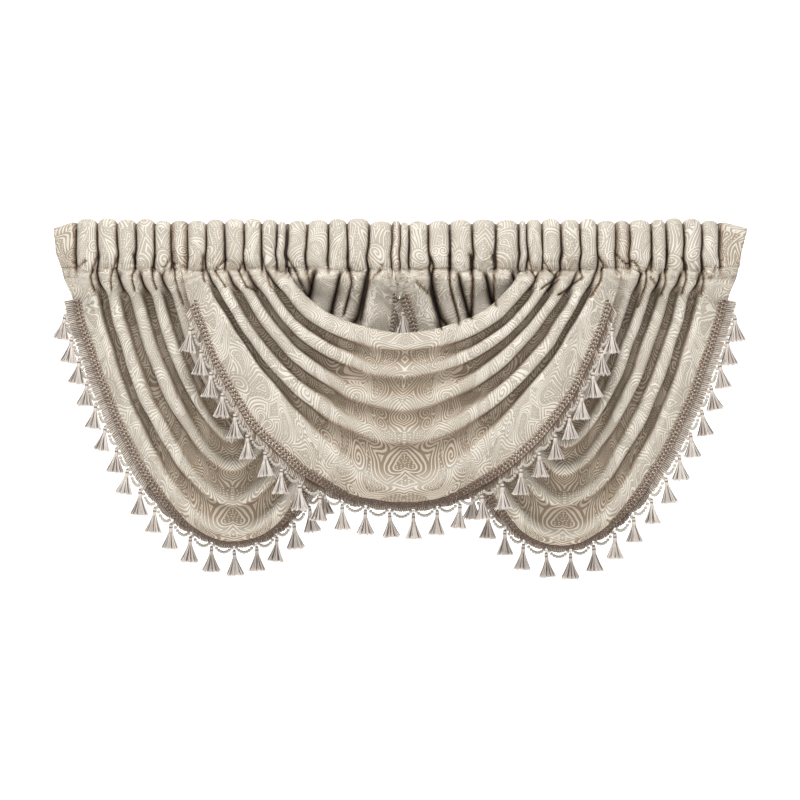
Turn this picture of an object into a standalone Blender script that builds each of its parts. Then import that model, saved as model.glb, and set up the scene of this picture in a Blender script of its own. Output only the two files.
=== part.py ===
# A rod-pocket window valance: one gathered heading and three overlapping swags,
# each edged with a flat braid and a looped fringe that carries tassels.
#
# Sizes are in millimetres and the meshes are written in metres.
# +X runs along the rod, -Y faces the room and +Z is up.
# The origin is the middle of the heading's top edge, above the rod pocket's axis.

import math
from collections import namedtuple

import bpy
from mathutils import Vector

METRES = 0.001
DOWN = Vector((0, 0, -1))

# Heading: a pleated tube of cloth that takes the rod, closed by a seam along its foot.
HEADING_HEIGHT = 90
HEADING_WALL = 2
POCKET_HALF_DEPTH = 14
SEAM_HALF_DEPTH = 12
SHOULDER_DROP = 15
SEAM_RISE = 26
PLEAT_DEPTH = 15
PLEAT_DEPTH_BACK = 8
VALLEY_TOP_DROP = 9
TOP_SHARE = 0.45

# The x of each pleat's two edges, by the groups in which they stand over the swags.
PLEAT_GROUPS = (
    (-580, -543, -508, -474, -440, -410),
    (-382, -348, -314, -278, -247, -221, -205),
    (-202, -167, -128, -94, -56, -14),
    (0, 16, 52, 90, 130, 172, 211),
    (212, 226, 255, 288, 322, 353, 387),
    (412, 450, 476, 509, 542, 573),
)
# Past the last pleat at each end a flat flap stands out, wider at its top.
FLAP_REACH = 626
FLAP_FOOT_REACH = 607
FLAP_FULLNESS = 0.5
FLAP_TOP_DROP = 13

# Cloth sheets
CLOTH = 2
HEADING_GAP = 1.4
STEPS_ACROSS = 10
LAST_REACH = 0.96

# Trim. The fringe starts a column further down than the braid may.
BRAID_WIDTH = 20
BRAID_THICKNESS = 2.6
PIECE_GAP = 0.3
FRINGE_START_COLUMN = 2
FRINGE_DROP_AT_TASSEL = 10
FRINGE_DROP_BETWEEN = 18
FRINGE_THICKNESS = 2
FRINGE_GAP = 1.2
FRINGE_SAG = 0.25
TASSELS_PER_SWAG = 25
TASSEL_ROOT_WIDTH = 3

# The swags' legs, sewn under the heading: each starts and ends at an x. Those of the
# side swags run on a little way behind those of the centre swag.
Leg = namedtuple("Leg", "start end")
LEGS = {
    "left_outer": Leg(-583, -392),
    "centre_left": Leg(-382, -205),
    "left_inner": Leg(-245, -11),
    "right_inner": Leg(4, 250),
    "centre_right": Leg(218, 388),
    "right_outer": Leg(398, 574),
}

# A swag's lines run from leg to leg. Each is named for what it is, and has the place
# of its lowest point, the power of its curve and the share that steepens at the legs.
Line = namedtuple("Line", "name low_x low_z power steep")

CENTRE_LINES = (
    Line("rim", 9, -206, 2.0, 0.30),
    Line("fold 5", 9, -229, 2.0, 0.30),
    Line("fold 4", 5, -275, 1.95, 0.22),
    Line("fold 3", 0, -334, 1.78, 0.15),
    Line("fold 2", 5, -391, 1.75, 0.20),
    Line("fold 1", 6, -477, 1.68, 0.05),
    Line("hem", 2, -517, 2.05, 0.28),
)
LEFT_LINES = (
    Line("rim", -303, -306, 1.7, 0.05),
    Line("fold 5", -303, -340, 1.65, 0.05),
    Line("fold 4", -304, -394, 1.65, 0.05),
    Line("fold 3", -301, -445, 1.72, 0.08),
    Line("fold 2", -304, -508, 1.8, 0.16),
    Line("fold 1", -301, -564, 1.8, 0.18),
    Line("hem", -302, -587, 2.1, 0.05),
)
RIGHT_LINES = (
    Line("rim", 292, -312, 1.7, 0.05),
    Line("fold 5", 292, -349, 1.65, 0.05),
    Line("fold 4", 297, -405, 1.65, 0.05),
    Line("fold 3", 295, -452, 1.72, 0.08),
    Line("fold 2", 295, -508, 1.8, 0.14),
    Line("fold 1", 292, -570, 1.8, 0.18),
    Line("hem", 290, -592, 2.1, 0.05),
)

FOLDS_PER_SWAG = 5

# A hem at a leg: how far it hangs out past the leg, the share of its rise that hangs
# plumb under the heading, and the column where its braid starts.
Hem = namedtuple("Hem", "overhang plumb braid_start")
INNER_HEM = Hem(6, 0.12, 1)
CENTRE_HEM = Hem(10, 0, 2)
PLUMB_POWER = 60
PLUMB_FROM = 0.45

# How a swag hangs: its legs, its hem at each, the depths of its valleys at the heading
# and lower down (towards the room is negative), and how far its middle bellies out.
Swag = namedtuple("Swag", "lines left right left_hem right_hem top_depth hang_depth belly")
SWAGS = {
    "left": Swag(LEFT_LINES, "left_outer", "left_inner", Hem(24, 0, 2), INNER_HEM, 9, 15, 7),
    "right": Swag(RIGHT_LINES, "right_inner", "right_outer", INNER_HEM, Hem(33, 0, 2), 9, 15, 7),
    "centre": Swag(
        CENTRE_LINES, "centre_left", "centre_right", CENTRE_HEM, CENTRE_HEM, -2.5, -31, 14
    ),
}
FOLD_DEPTH = 25
PINCH_SHARE = 0.3
PINCH_LENGTH = 34
HANG_LENGTH = 45
MIDDLE_FOLD_SHARE = 0.34
HEM_CURL = 30

# From one fold's crest down to the next: share of the way, and height of the cloth
# above the valley. At the sides each fold rolls over the valley under it.
Station = namedtuple("Station", "way height")
ROLLED = (
    Station(0.00, 1.00),
    Station(0.17, 0.80),
    Station(0.24, 0.22),
    Station(0.42, 0.00),
    Station(0.72, 0.55),
)
SOFT = (
    Station(0.00, 1.00),
    Station(0.20, 0.66),
    Station(0.38, 0.14),
    Station(0.56, 0.06),
    Station(0.80, 0.64),
)
RIM_WAY = (0.0, 0.5)
RIM_HEIGHT = (0.45, 0.85)
HEM_HEIGHT = 0.35

Finish = namedtuple("Finish", "colour roughness")
FINISHES = {
    "jacquard": Finish((0.66, 0.61, 0.53, 1), 0.55),
    "braid": Finish((0.42, 0.33, 0.27, 1), 0.7),
    "fringe": Finish((0.62, 0.55, 0.49, 1), 0.6),
}


def smooth(share):
    share = min(1.0, max(0.0, share))
    return share * share * (3 - 2 * share)


def mix(a, b, share):
    return a + (b - a) * share


def crest(leg, number):
    """The x of a fold's crest at the heading, where folds count from the leg's start."""
    return mix(leg.start, leg.end, (number + 0.5) / FOLDS_PER_SWAG)


# Lines of a swag


def rounded_power(share, power, rounding=0.1):
    """share to a power, with the point at 0 rounded off, from 0 to 1."""
    low = rounding**power
    high = (1 + rounding**2) ** (power / 2) - low
    return ((share**2 + rounding**2) ** (power / 2) - low) / high


def anchors(swag):
    """For each line, the x where it leaves the heading on the left and on the right."""
    left, right = LEGS[swag.left], LEGS[swag.right]
    last = FOLDS_PER_SWAG - 1
    folds = [(crest(left, last - i), crest(right, i)) for i in range(FOLDS_PER_SWAG)]
    hem = (left.start - swag.left_hem.overhang, right.end + swag.right_hem.overhang)
    return [(left.end, right.start), *folds, hem]


def on_line(line, ends, reach, plumb=0):
    """The (x, z) on a line, for reach from -1 at the left leg to 1 at the right leg."""
    side = ends[0] if reach < 0 else ends[1]
    out = 1 - (1 - abs(reach)) ** 1.3
    top = -HEADING_HEIGHT - HEADING_GAP
    rise = mix(rounded_power(out, line.power), out**7, line.steep)
    if plumb:
        rise -= plumb * smooth((out - PLUMB_FROM) / (1 - PLUMB_FROM)) * (1 - out**PLUMB_POWER)
    return mix(line.low_x, side, out), mix(line.low_z, top, rise)


def depth(swag, reach, z, height):
    """The y of the cloth at a height above its valley, from 0 to 1."""
    drop = -z - HEADING_HEIGHT
    valley = mix(swag.top_depth, swag.hang_depth, smooth(drop / HANG_LENGTH))
    belly = swag.belly * (1 - reach**2) ** 2
    pinch = mix(PINCH_SHARE, 1, smooth(drop / PINCH_LENGTH))
    fullness = mix(MIDDLE_FOLD_SHARE, 1, smooth((abs(reach) - 0.08) / 0.5))
    return valley - belly - FOLD_DEPTH * pinch * fullness * height


def column(swag, reach):
    """Points down the cloth at one reach, from the rim to the hem."""
    sides = smooth((abs(reach) - 0.1) / 0.45)
    *ends, hem_ends = anchors(swag)
    *folds, hem = swag.lines
    plumb = (swag.left_hem if reach < 0 else swag.right_hem).plumb
    lines = [on_line(*pair, reach) for pair in zip(folds, ends)]
    lines.append(on_line(hem, hem_ends, reach, plumb))
    points = []

    def add(upper, lower, way, height):
        x, z = (mix(a, b, way) for a, b in zip(upper, lower))
        points.append(Vector((x, depth(swag, reach, z, height), z)))

    for way, height in zip(RIM_WAY, RIM_HEIGHT):
        add(lines[0], lines[1], way, height)
    for upper, lower in zip(lines[1:-2], lines[2:-1]):
        for soft, rolled in zip(SOFT, ROLLED):
            way, height = (mix(a, b, sides) for a, b in zip(soft, rolled))
            add(upper, lower, way, height)
    points += hem_band(swag, reach, lines[-2], lines[-1])
    return points


def hem_band(swag, reach, fold, hem):
    """The lowest fold's crest, a point between, the braid's top edge and the hem."""
    curl = HEM_CURL * (1 - smooth(abs(reach) / 0.62))

    def at(way):
        x, z = (mix(a, b, way) for a, b in zip(fold, hem))
        y = depth(swag, reach, z, mix(1, HEM_HEIGHT, way))
        return Vector((x, y + curl * way**2, z))

    steps = 60
    fine = [at(i / steps) for i in range(steps + 1)]
    length, start = 0.0, steps
    while length < BRAID_WIDTH and start > 2:
        start -= 1
        length += (fine[start + 1] - fine[start]).length
    return [fine[0], fine[start // 2], fine[start], fine[-1]]


def reaches():
    """The reach of each column of points, from the left leg to the right one."""
    half = [*(i / STEPS_ACROSS for i in range(STEPS_ACROSS)), LAST_REACH, 1]
    return [*(-reach for reach in half[:0:-1]), *half]


# Solids from grids


def normals(grid):
    """A unit normal towards the room for each point of a grid of columns."""
    across, down = len(grid), len(grid[0])
    result = []
    for i in range(across):
        before, after = grid[max(i - 1, 0)], grid[min(i + 1, across - 1)]
        row = []
        for j in range(down):
            along = after[j] - before[j]
            downward = grid[i][min(j + 1, down - 1)] - grid[i][max(j - 1, 0)]
            row.append(downward.cross(along).normalized())
        result.append(row)
    return result


def shifted(grid, directions, distance):
    return [
        [point + direction * distance for point, direction in zip(points, ways)]
        for points, ways in zip(grid, directions)
    ]


def make_object(name, finish, points, faces):
    mesh = bpy.data.meshes.new(name)
    mesh.from_pydata([tuple(p * METRES) for p in points], [], faces)
    mesh.materials.append(material(finish))
    mesh.shade_smooth()
    mesh.set_sharp_from_angle(angle=math.radians(60))
    made = bpy.data.objects.new(name, mesh)
    bpy.context.scene.collection.objects.link(made)
    return made


def material(name):
    found = bpy.data.materials.get(name)
    if found:
        return found
    made = bpy.data.materials.new(name)
    made.use_nodes = True
    shader = made.node_tree.nodes["Principled BSDF"]
    shader.inputs["Base Color"].default_value = FINISHES[name].colour
    shader.inputs["Roughness"].default_value = FINISHES[name].roughness
    shader.inputs["Metallic"].default_value = 0
    return made


def loft(sections, back):
    """Points and faces of a solid whose sections are closed rings of equal count.
    From the ring's point `back` on, faces are cut along their other diagonal, so
    that the two sides of a sheet bend along the same lines."""
    ring = len(sections[0])
    points = [p for section in sections for p in section]
    faces = []
    for i in range(len(sections) - 1):
        for j in range(ring):
            a, b = i * ring + j, i * ring + (j + 1) % ring
            if j < back:
                faces += [(a, b, b + ring), (a, b + ring, a + ring)]
            else:
                faces += [(a, b, a + ring), (b, b + ring, a + ring)]
    last = (len(sections) - 1) * ring
    half = ring // 2
    for j in range(half):
        # Each end is closed by a ladder between the ring's two halves.
        a, b, c, d = j, j + 1, ring - 2 - j, ring - 1 - j
        for base, turned in ((0, True), (last, False)):
            corners = [base + a, base + b, base + c, base + d]
            triangles = [(corners[0], corners[1], corners[2]), (corners[0], corners[2], corners[3])]
            for triangle in triangles:
                if len(set(triangle)) == 3:
                    faces.append(triangle[::-1] if turned else triangle)
    return points, faces


# Pieces


def make_heading():
    """The rod pocket: a tube of cloth, pleated in front and more softly behind."""
    outer, inner = [], []
    for top_x, foot_x, fullness, drop in heading_columns():
        front = -POCKET_HALF_DEPTH - PLEAT_DEPTH * fullness
        back = POCKET_HALF_DEPTH + PLEAT_DEPTH_BACK * fullness
        top = -drop - VALLEY_TOP_DROP * (1 - fullness)
        for rings, wall in ((outer, HEADING_WALL), (inner, 0)):
            thin = HEADING_WALL - wall
            section = (
                (thin - SEAM_HALF_DEPTH, thin - HEADING_HEIGHT),
                (front - wall, SEAM_RISE - HEADING_HEIGHT),
                (front - wall, top - SHOULDER_DROP),
                (mix(front, back, TOP_SHARE), top - thin),
                (back + wall, top - SHOULDER_DROP),
                (back + wall, SEAM_RISE - HEADING_HEIGHT),
                (SEAM_HALF_DEPTH - thin, thin - HEADING_HEIGHT),
            )
            rings.append(
                [Vector((mix(top_x, foot_x, -z / HEADING_HEIGHT), y, z)) for y, z in section]
            )
    points, faces = tube(outer, inner)
    make_object("heading", "jacquard", points, faces)


# Across one pleat, from edge to edge: share of the way, and how full it stands.
PLEAT_SECTION = ((0.27, 0.95), (0.76, 0.9))


def heading_columns():
    """Along the heading: the x at the top and at the foot, how full the cloth stands (1 on
    a crest, 0 in a valley) and how far the top edge drops."""
    columns = [(-FLAP_REACH, -FLAP_FOOT_REACH, FLAP_FULLNESS, FLAP_TOP_DROP)]
    for edges in PLEAT_GROUPS:
        columns.append((edges[0], edges[0], 0.0, 0))
        for start, end in zip(edges, edges[1:]):
            for way, fullness in PLEAT_SECTION:
                x = mix(start, end, way)
                columns.append((x, x, fullness, 0))
            columns.append((end, end, 0.0, 0))
    columns.append((FLAP_REACH, FLAP_FOOT_REACH, FLAP_FULLNESS, FLAP_TOP_DROP))
    return columns


def tube(outer, inner):
    """A tube with open ends, from rings of its outer and inner wall."""
    ring, count = len(outer[0]), len(outer)
    points = [p for section in outer for p in section]
    offset = len(points)
    points += [p for section in inner for p in section]
    faces = []
    for j in range(ring):
        k = (j + 1) % ring
        for i in range(count - 1):
            a, b, c, d = i * ring + j, i * ring + k, (i + 1) * ring + k, (i + 1) * ring + j
            faces += [(a, c, b), (a, d, c)]
            a, b, c, d = (n + offset for n in (a, b, c, d))
            faces += [(a, b, c), (a, c, d)]
        last = (count - 1) * ring
        faces += [(j, k, k + offset), (j, k + offset, j + offset)]
        a, b, c, d = last + j, last + k, last + k + offset, last + j + offset
        faces += [(a, c, b), (a, d, c)]
    return points, faces


def make_swag(side):
    """One swag's cloth, the braid on its hem and the fringe under it."""
    swag = SWAGS[side]
    grid = [column(swag, reach) for reach in reaches()]
    ways = normals(grid)
    front = shifted(grid, ways, CLOTH / 2)
    back = shifted(grid, ways, -CLOTH / 2)
    rings = [[*f, *b[::-1]] for f, b in zip(front, back)]
    make_object(f"swag_{side}", "jacquard", *loft(rings, back=len(grid[0])))
    columns = slice(swag.left_hem.braid_start, -swag.right_hem.braid_start)
    make_braid(side, grid[columns], ways[columns])
    columns = slice(FRINGE_START_COLUMN, -FRINGE_START_COLUMN)
    make_fringe(side, hem_edges(grid[columns], ways[columns]))


# Across the braid, from its top edge: share of the way, and share of its thickness.
# Two cords stand up along it.
BRAID_SECTION = ((0.0, 0.6), (0.3, 1.0), (0.5, 0.7), (0.7, 1.0), (1.0, 0.6))


def make_braid(side, grid, ways):
    """A flat braid, a piece's gap in front of the cloth."""
    under = CLOTH / 2 + PIECE_GAP
    sections = []
    for points, normal in zip(grid, ways):
        top, hem = points[-2:]
        n_top, n_hem = normal[-2:]
        face = [
            top.lerp(hem, way) + n_top.lerp(n_hem, way) * (under + BRAID_THICKNESS * height)
            for way, height in BRAID_SECTION
        ]
        sections.append([*face, hem + n_hem * under, top + n_top * under])
    make_object(f"braid_{side}", "braid", *loft(sections, back=len(BRAID_SECTION)))


# A place on a hem: its point, the cloth's own direction there and its face's normal.
Edge = namedtuple("Edge", "point out normal")


def hem_edges(grid, ways):
    return [
        Edge(points[-1], (points[-1] - points[-2]).normalized(), normal[-1])
        for points, normal in zip(grid, ways)
    ]


def along(edges):
    """A function that gives the Edge at a distance along a hem, and the hem's length."""
    lengths = [0.0]
    for a, b in zip(edges, edges[1:]):
        lengths.append(lengths[-1] + (b.point - a.point).length)

    def at(distance):
        i = sum(length <= distance for length in lengths[1:-1])
        share = (distance - lengths[i]) / (lengths[i + 1] - lengths[i])
        return Edge(*(a.lerp(b, share) for a, b in zip(edges[i], edges[i + 1])))

    return at, lengths[-1]


def fringe_section(edge, drop):
    """The four corners of the fringe's strip: front top, front low, back low, back top."""
    fall = (edge.out + DOWN * FRINGE_SAG).normalized()
    top = edge.point + edge.out * FRINGE_GAP
    half = edge.normal * FRINGE_THICKNESS / 2
    low = top + fall * drop
    return [top + half, low + half, low - half, top - half]


def make_fringe(side, edges):
    """The looped strip under a hem, scalloped between its tassels, which hang from it."""
    at, length = along(edges)
    pitch = length / TASSELS_PER_SWAG
    half = TASSEL_ROOT_WIDTH / 2
    sections, roots = [fringe_section(at(0), FRINGE_DROP_AT_TASSEL)], []
    for number in range(TASSELS_PER_SWAG):
        place = (number + 0.5) * pitch
        if number:
            sections.append(fringe_section(at(place - pitch / 2), FRINGE_DROP_BETWEEN))
        roots.append(len(sections))
        for shift in (-half, half):
            sections.append(fringe_section(at(place + shift), FRINGE_DROP_AT_TASSEL))
    sections.append(fringe_section(at(length), FRINGE_DROP_AT_TASSEL))
    points, faces = loft(sections, back=2)
    for first in roots:
        hang_tassel(points, faces, first * 4)
    make_object(f"fringe_{side}", "fringe", points, faces)


# A tassel, from the strip down: drop below the strip's edge, and half its width.
TasselRing = namedtuple("TasselRing", "drop half")
CORD_END = TasselRing(9, 1.3)
HEAD = TasselRing(14, 4.2)
NECK = TasselRing(21, 3.0)
LOCK_END = TasselRing(48, 13.5)
LOCK_WIDTH = 10.8
TASSEL_FORWARD = 5
TASSEL_FORWARD_STEEP = 9


def hang_tassel(points, faces, first):
    """Hangs a tassel of four locks from the strip's lower edge, in place of its face."""
    front_a, back_a = first + 1, first + 2
    front_b, back_b = first + 5, first + 6
    edge = [front_a, front_b, back_b, back_a]
    for face in [f for f in faces if set(f) <= set(edge)]:
        faces.remove(face)
    middle = sum((points[i] for i in edge), Vector()) / 4
    span = points[front_b] - points[front_a]
    steep = abs(span.z) / span.length
    forward = Vector((0, -TASSEL_FORWARD - TASSEL_FORWARD_STEEP * steep, 0))
    corners = ((-1, -1), (1, -1), (1, 1), (-1, 1))

    def ring(spec, share):
        base = len(points)
        centre = middle + forward * share + DOWN * spec.drop
        for x, y in corners:
            points.append(centre + Vector((x * spec.half, y * spec.half, 0)))
        return [base, base + 1, base + 2, base + 3]

    rings = [edge, ring(CORD_END, 0.7), ring(HEAD, 1.0)]
    for above, below in zip(rings, rings[1:]):
        for j in range(4):
            a, b, c, d = above[j], above[(j + 1) % 4], below[(j + 1) % 4], below[j]
            faces += [(a, c, b), (a, d, c)]
    head, neck = rings[-1], ring(NECK, 1.0)
    sides = []
    for j in range(4):
        a, b, c, d = head[j], head[(j + 1) % 4], neck[(j + 1) % 4], neck[j]
        points.append((points[c] + points[d]) / 2)
        sides.append(len(points) - 1)
        faces += [(a, sides[-1], b), (b, sides[-1], c), (a, d, sides[-1])]
    points.append(sum((points[i] for i in neck), Vector()) / 4)
    core = len(points) - 1
    for j in range(4):
        hang_lock(points, faces, [neck[j], sides[j], core, sides[j - 1]], corners[j], points[core])


def hang_lock(points, faces, root, corner, core):
    """One four-sided lock of yarn, from its root square out to its free end."""
    far = LOCK_END.half
    near = far - LOCK_WIDTH
    end = core + DOWN * (LOCK_END.drop - NECK.drop)
    base = len(points)
    x, y = corner
    turns = ((far * x, far * y), (near * x, far * y), (near * x, near * y), (far * x, near * y))
    if x * y < 0:
        turns = (turns[0], turns[3], turns[2], turns[1])
    for dx, dy in turns:
        points.append(end + Vector((dx, dy, 0)))
    for j in range(4):
        a, b, c, d = root[j], root[(j + 1) % 4], base + (j + 1) % 4, base + j
        faces += [(a, c, b), (a, d, c)]
    faces += [(base, base + 2, base + 1), (base, base + 3, base + 2)]


def main():
    for old in list(bpy.data.objects):
        bpy.data.objects.remove(old)
    make_heading()
    for side in SWAGS:
        make_swag(side)


if __name__ == "__main__":
    main()
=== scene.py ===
# A cream jacquard swag valance: a gathered rod-pocket heading, three overlapping swags,
# and on each hem a braid, a looped fringe, tassels and chains of beads.
# Sizes in the dictionaries are millimetres unless a note says otherwise.

import math

import bpy
import numpy as np
from mathutils import Matrix, Vector


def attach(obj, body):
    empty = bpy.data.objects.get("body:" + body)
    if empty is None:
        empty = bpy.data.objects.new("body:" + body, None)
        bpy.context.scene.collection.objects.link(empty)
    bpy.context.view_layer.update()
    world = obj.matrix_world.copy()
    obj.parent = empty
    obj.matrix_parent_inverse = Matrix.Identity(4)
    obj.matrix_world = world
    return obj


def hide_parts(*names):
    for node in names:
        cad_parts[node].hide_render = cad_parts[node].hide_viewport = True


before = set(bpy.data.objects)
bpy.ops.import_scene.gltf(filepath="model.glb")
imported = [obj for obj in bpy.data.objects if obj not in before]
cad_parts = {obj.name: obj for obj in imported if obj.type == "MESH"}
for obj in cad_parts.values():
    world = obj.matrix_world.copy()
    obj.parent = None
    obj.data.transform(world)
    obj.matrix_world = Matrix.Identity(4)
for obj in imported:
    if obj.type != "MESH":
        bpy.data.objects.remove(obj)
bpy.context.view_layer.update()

mm = 0.001
scene = bpy.context.scene


# Camera, from straight in front as in the photograph

view = {
    "distance": 4000,
    "lens": 100,
    "height": -326,
}

camera = bpy.data.objects.new("camera", bpy.data.cameras.new("camera"))
camera.data.lens = view["lens"]
camera.location = (0, -view["distance"] * mm, view["height"] * mm)
camera.rotation_euler = (math.radians(90), 0, 0)
scene.collection.objects.link(camera)
scene.camera = camera
print("camera placed")


# Small helpers

def mix(a, b, share):
    return a + (b - a) * share


def smooth(share):
    share = np.clip(share, 0, 1)
    return share * share * (3 - 2 * share)


def hashed(ix, iy, seed):
    n = (ix * 374761393 + iy * 668265263 + seed * 974634777) & 0xFFFFFFFF
    n = ((n ^ (n >> 13)) * 1274126177) & 0xFFFFFFFF
    return ((n ^ (n >> 16)) & 0xFFFF) / 65535 * 2 - 1


# Smooth noise from -1 to 1; x and y are in cells
def noise(x, y, seed):
    x, y = np.broadcast_arrays(x, y)
    ix, iy = np.floor(x).astype(np.int64), np.floor(y).astype(np.int64)
    fx, fy = smooth(x - ix), smooth(y - iy)
    top = mix(hashed(ix, iy, seed), hashed(ix + 1, iy, seed), fx)
    low = mix(hashed(ix, iy + 1, seed), hashed(ix + 1, iy + 1, seed), fx)
    return mix(top, low, fy)


def linear(hexColour):
    channels = [int(hexColour[i:i + 2], 16) / 255 for i in (1, 3, 5)]
    return (*[c / 12.92 if c <= 0.04045 else ((c + 0.055) / 1.055) ** 2.4 for c in channels], 1)


# One node with its settings (a word is its operation) and its inputs, by name or place
def addNode(tree, kind, settings=None, inputs=None):
    node = tree.nodes.new(kind)
    if isinstance(settings, str):
        settings = {"operation": settings}
    for name, value in (settings or {}).items():
        setattr(node, name, value)
    for key, value in (inputs or {}).items():
        socket = node.inputs[key] if isinstance(key, int) else next(
            s for s in node.inputs if s.name == key and s.enabled)
        if isinstance(value, bpy.types.Node):
            value = next(s for s in value.outputs if s.enabled)
        if isinstance(value, bpy.types.NodeSocket):
            tree.links.new(value, socket)
        else:
            socket.default_value = value
    return node


def newMaterial(name):
    material = bpy.data.materials.new(name)
    material.use_nodes = True
    return material, material.node_tree, material.node_tree.nodes["Principled BSDF"]


# An object in the scene from points in millimetres
def meshObject(name, points, faces, edges=()):
    mesh = bpy.data.meshes.new(name)
    mesh.from_pydata((np.asarray(points, float).reshape(-1, 3) * mm).tolist(), list(edges), list(faces))
    made = bpy.data.objects.new(name, mesh)
    scene.collection.objects.link(made)
    return made


def unit(v):
    return v / np.maximum(np.linalg.norm(v, axis=-1, keepdims=True), 1e-9)


# The cloth of the swags

# Each line runs from leg to leg: its lowest point, the power of its curve and the
# share that steepens at the legs.
swagLines = {
    "centre": [
        (9, -206, 2.0, 0.30),
        (9, -229, 2.0, 0.30),
        (5, -275, 1.95, 0.22),
        (0, -334, 1.78, 0.15),
        (5, -391, 1.75, 0.20),
        (6, -477, 1.68, 0.05),
        (2, -517, 2.05, 0.28),
    ],
    "left": [
        (-303, -306, 1.7, 0.05),
        (-303, -340, 1.65, 0.05),
        (-304, -394, 1.65, 0.05),
        (-301, -445, 1.72, 0.08),
        (-304, -508, 1.8, 0.16),
        (-301, -564, 1.8, 0.18),
        (-302, -587, 2.1, 0.05),
    ],
    "right": [
        (292, -312, 1.7, 0.05),
        (292, -349, 1.65, 0.05),
        (297, -405, 1.65, 0.05),
        (295, -452, 1.72, 0.08),
        (295, -508, 1.8, 0.14),
        (292, -570, 1.8, 0.18),
        (290, -592, 2.1, 0.05),
    ],
}
swags = {
    "left": {
        "legs": ((-583, -392), (-245, -11)),
        "overhang": (24, 13),
        "plumb": (0, 0.2),
        "lap": -3,
        "flare": -7,
        "depths": (11, 19),
        "belly": 7,
        "gather": 20,
        "behind": (204, 374),
        "braid": (-0.9, 0.975),
    },
    "right": {
        "legs": ((4, 250), (398, 574)),
        "overhang": (13, 33),
        "plumb": (0.07, 0),
        "lap": 4,
        "flare": 7,
        "depths": (11, 19),
        "belly": 7,
        "gather": 22,
        "behind": (217, 380),
        "braid": (-0.945, 0.9),
    },
    "centre": {
        "legs": ((-382, -205), (218, 388)),
        "overhang": (10, 10),
        "plumb": (0, 0),
        "lap": 0,
        "flare": 0,
        "depths": (-2.5, -30),
        "belly": 14,
        "gather": 9,
        "behind": (0, 0),
        "braid": (-0.9, 0.9),
    },
}
fringeReach = 0.9
cloth = {
    "top": -90.2,
    "thickness": 1.6,
    "foldDepth": 31,
    "pinchShare": 0.34,
    "pinchLength": 22,
    "puff": 7,
    "puffDrop": 21,
    "puffLength": 13,
    "gatherLength": 46,
    "seamLength": 9,
    "hangLength": 45,
    "middleShare": 0.34,
    "hemHeight": 0.35,
    "hemCurl": 30,
    "wayLength": 7,
    "crumple": 2.4,
    "crumpleShade": 0.2,
    "creaseShade": 0.13,
    "columns": 216,
    "rowsPerFold": 22,
}

# Down from one fold's crest to the next: share of the way, height over the valley and the
# painted shade there, darkest just under the crest above
foldShapes = {
    "rolled": [
        (0, 1, 1), (0.1, 0.99, 1), (0.2, 0.9, 0.97), (0.265, 0.62, 0.74), (0.262, 0.26, 0.14),
        (0.285, 0.05, 0.14), (0.34, 0, 0.58), (0.5, 0.02, 0.66), (0.64, 0.06, 0.62),
        (0.7, 0.2, 0.4), (0.745, 0.62, 0.76), (0.82, 0.92, 1), (1, 1, 1),
    ],
    "soft": [
        (0, 1, 0.92), (0.08, 0.96, 0.92), (0.14, 0.78, 0.8), (0.185, 0.46, 0.54),
        (0.235, 0.18, 0.47), (0.34, 0.07, 0.55), (0.46, 0.07, 0.62), (0.58, 0.13, 0.66),
        (0.68, 0.27, 0.7), (0.77, 0.52, 0.76), (0.86, 0.82, 0.86), (0.93, 0.95, 0.92), (1, 1, 0.92),
    ],
    "puffed": [
        (0, 1, 1), (0.14, 0.96, 1), (0.29, 0.84, 0.97), (0.39, 0.58, 0.78), (0.45, 0.22, 0.2),
        (0.485, 0, 0), (0.52, 0, 0), (0.56, 0.24, 0.25), (0.62, 0.6, 0.8), (0.72, 0.86, 0.98),
        (0.82, 0.94, 1), (0.92, 0.99, 1), (1, 1, 1),
    ],
}
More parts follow.
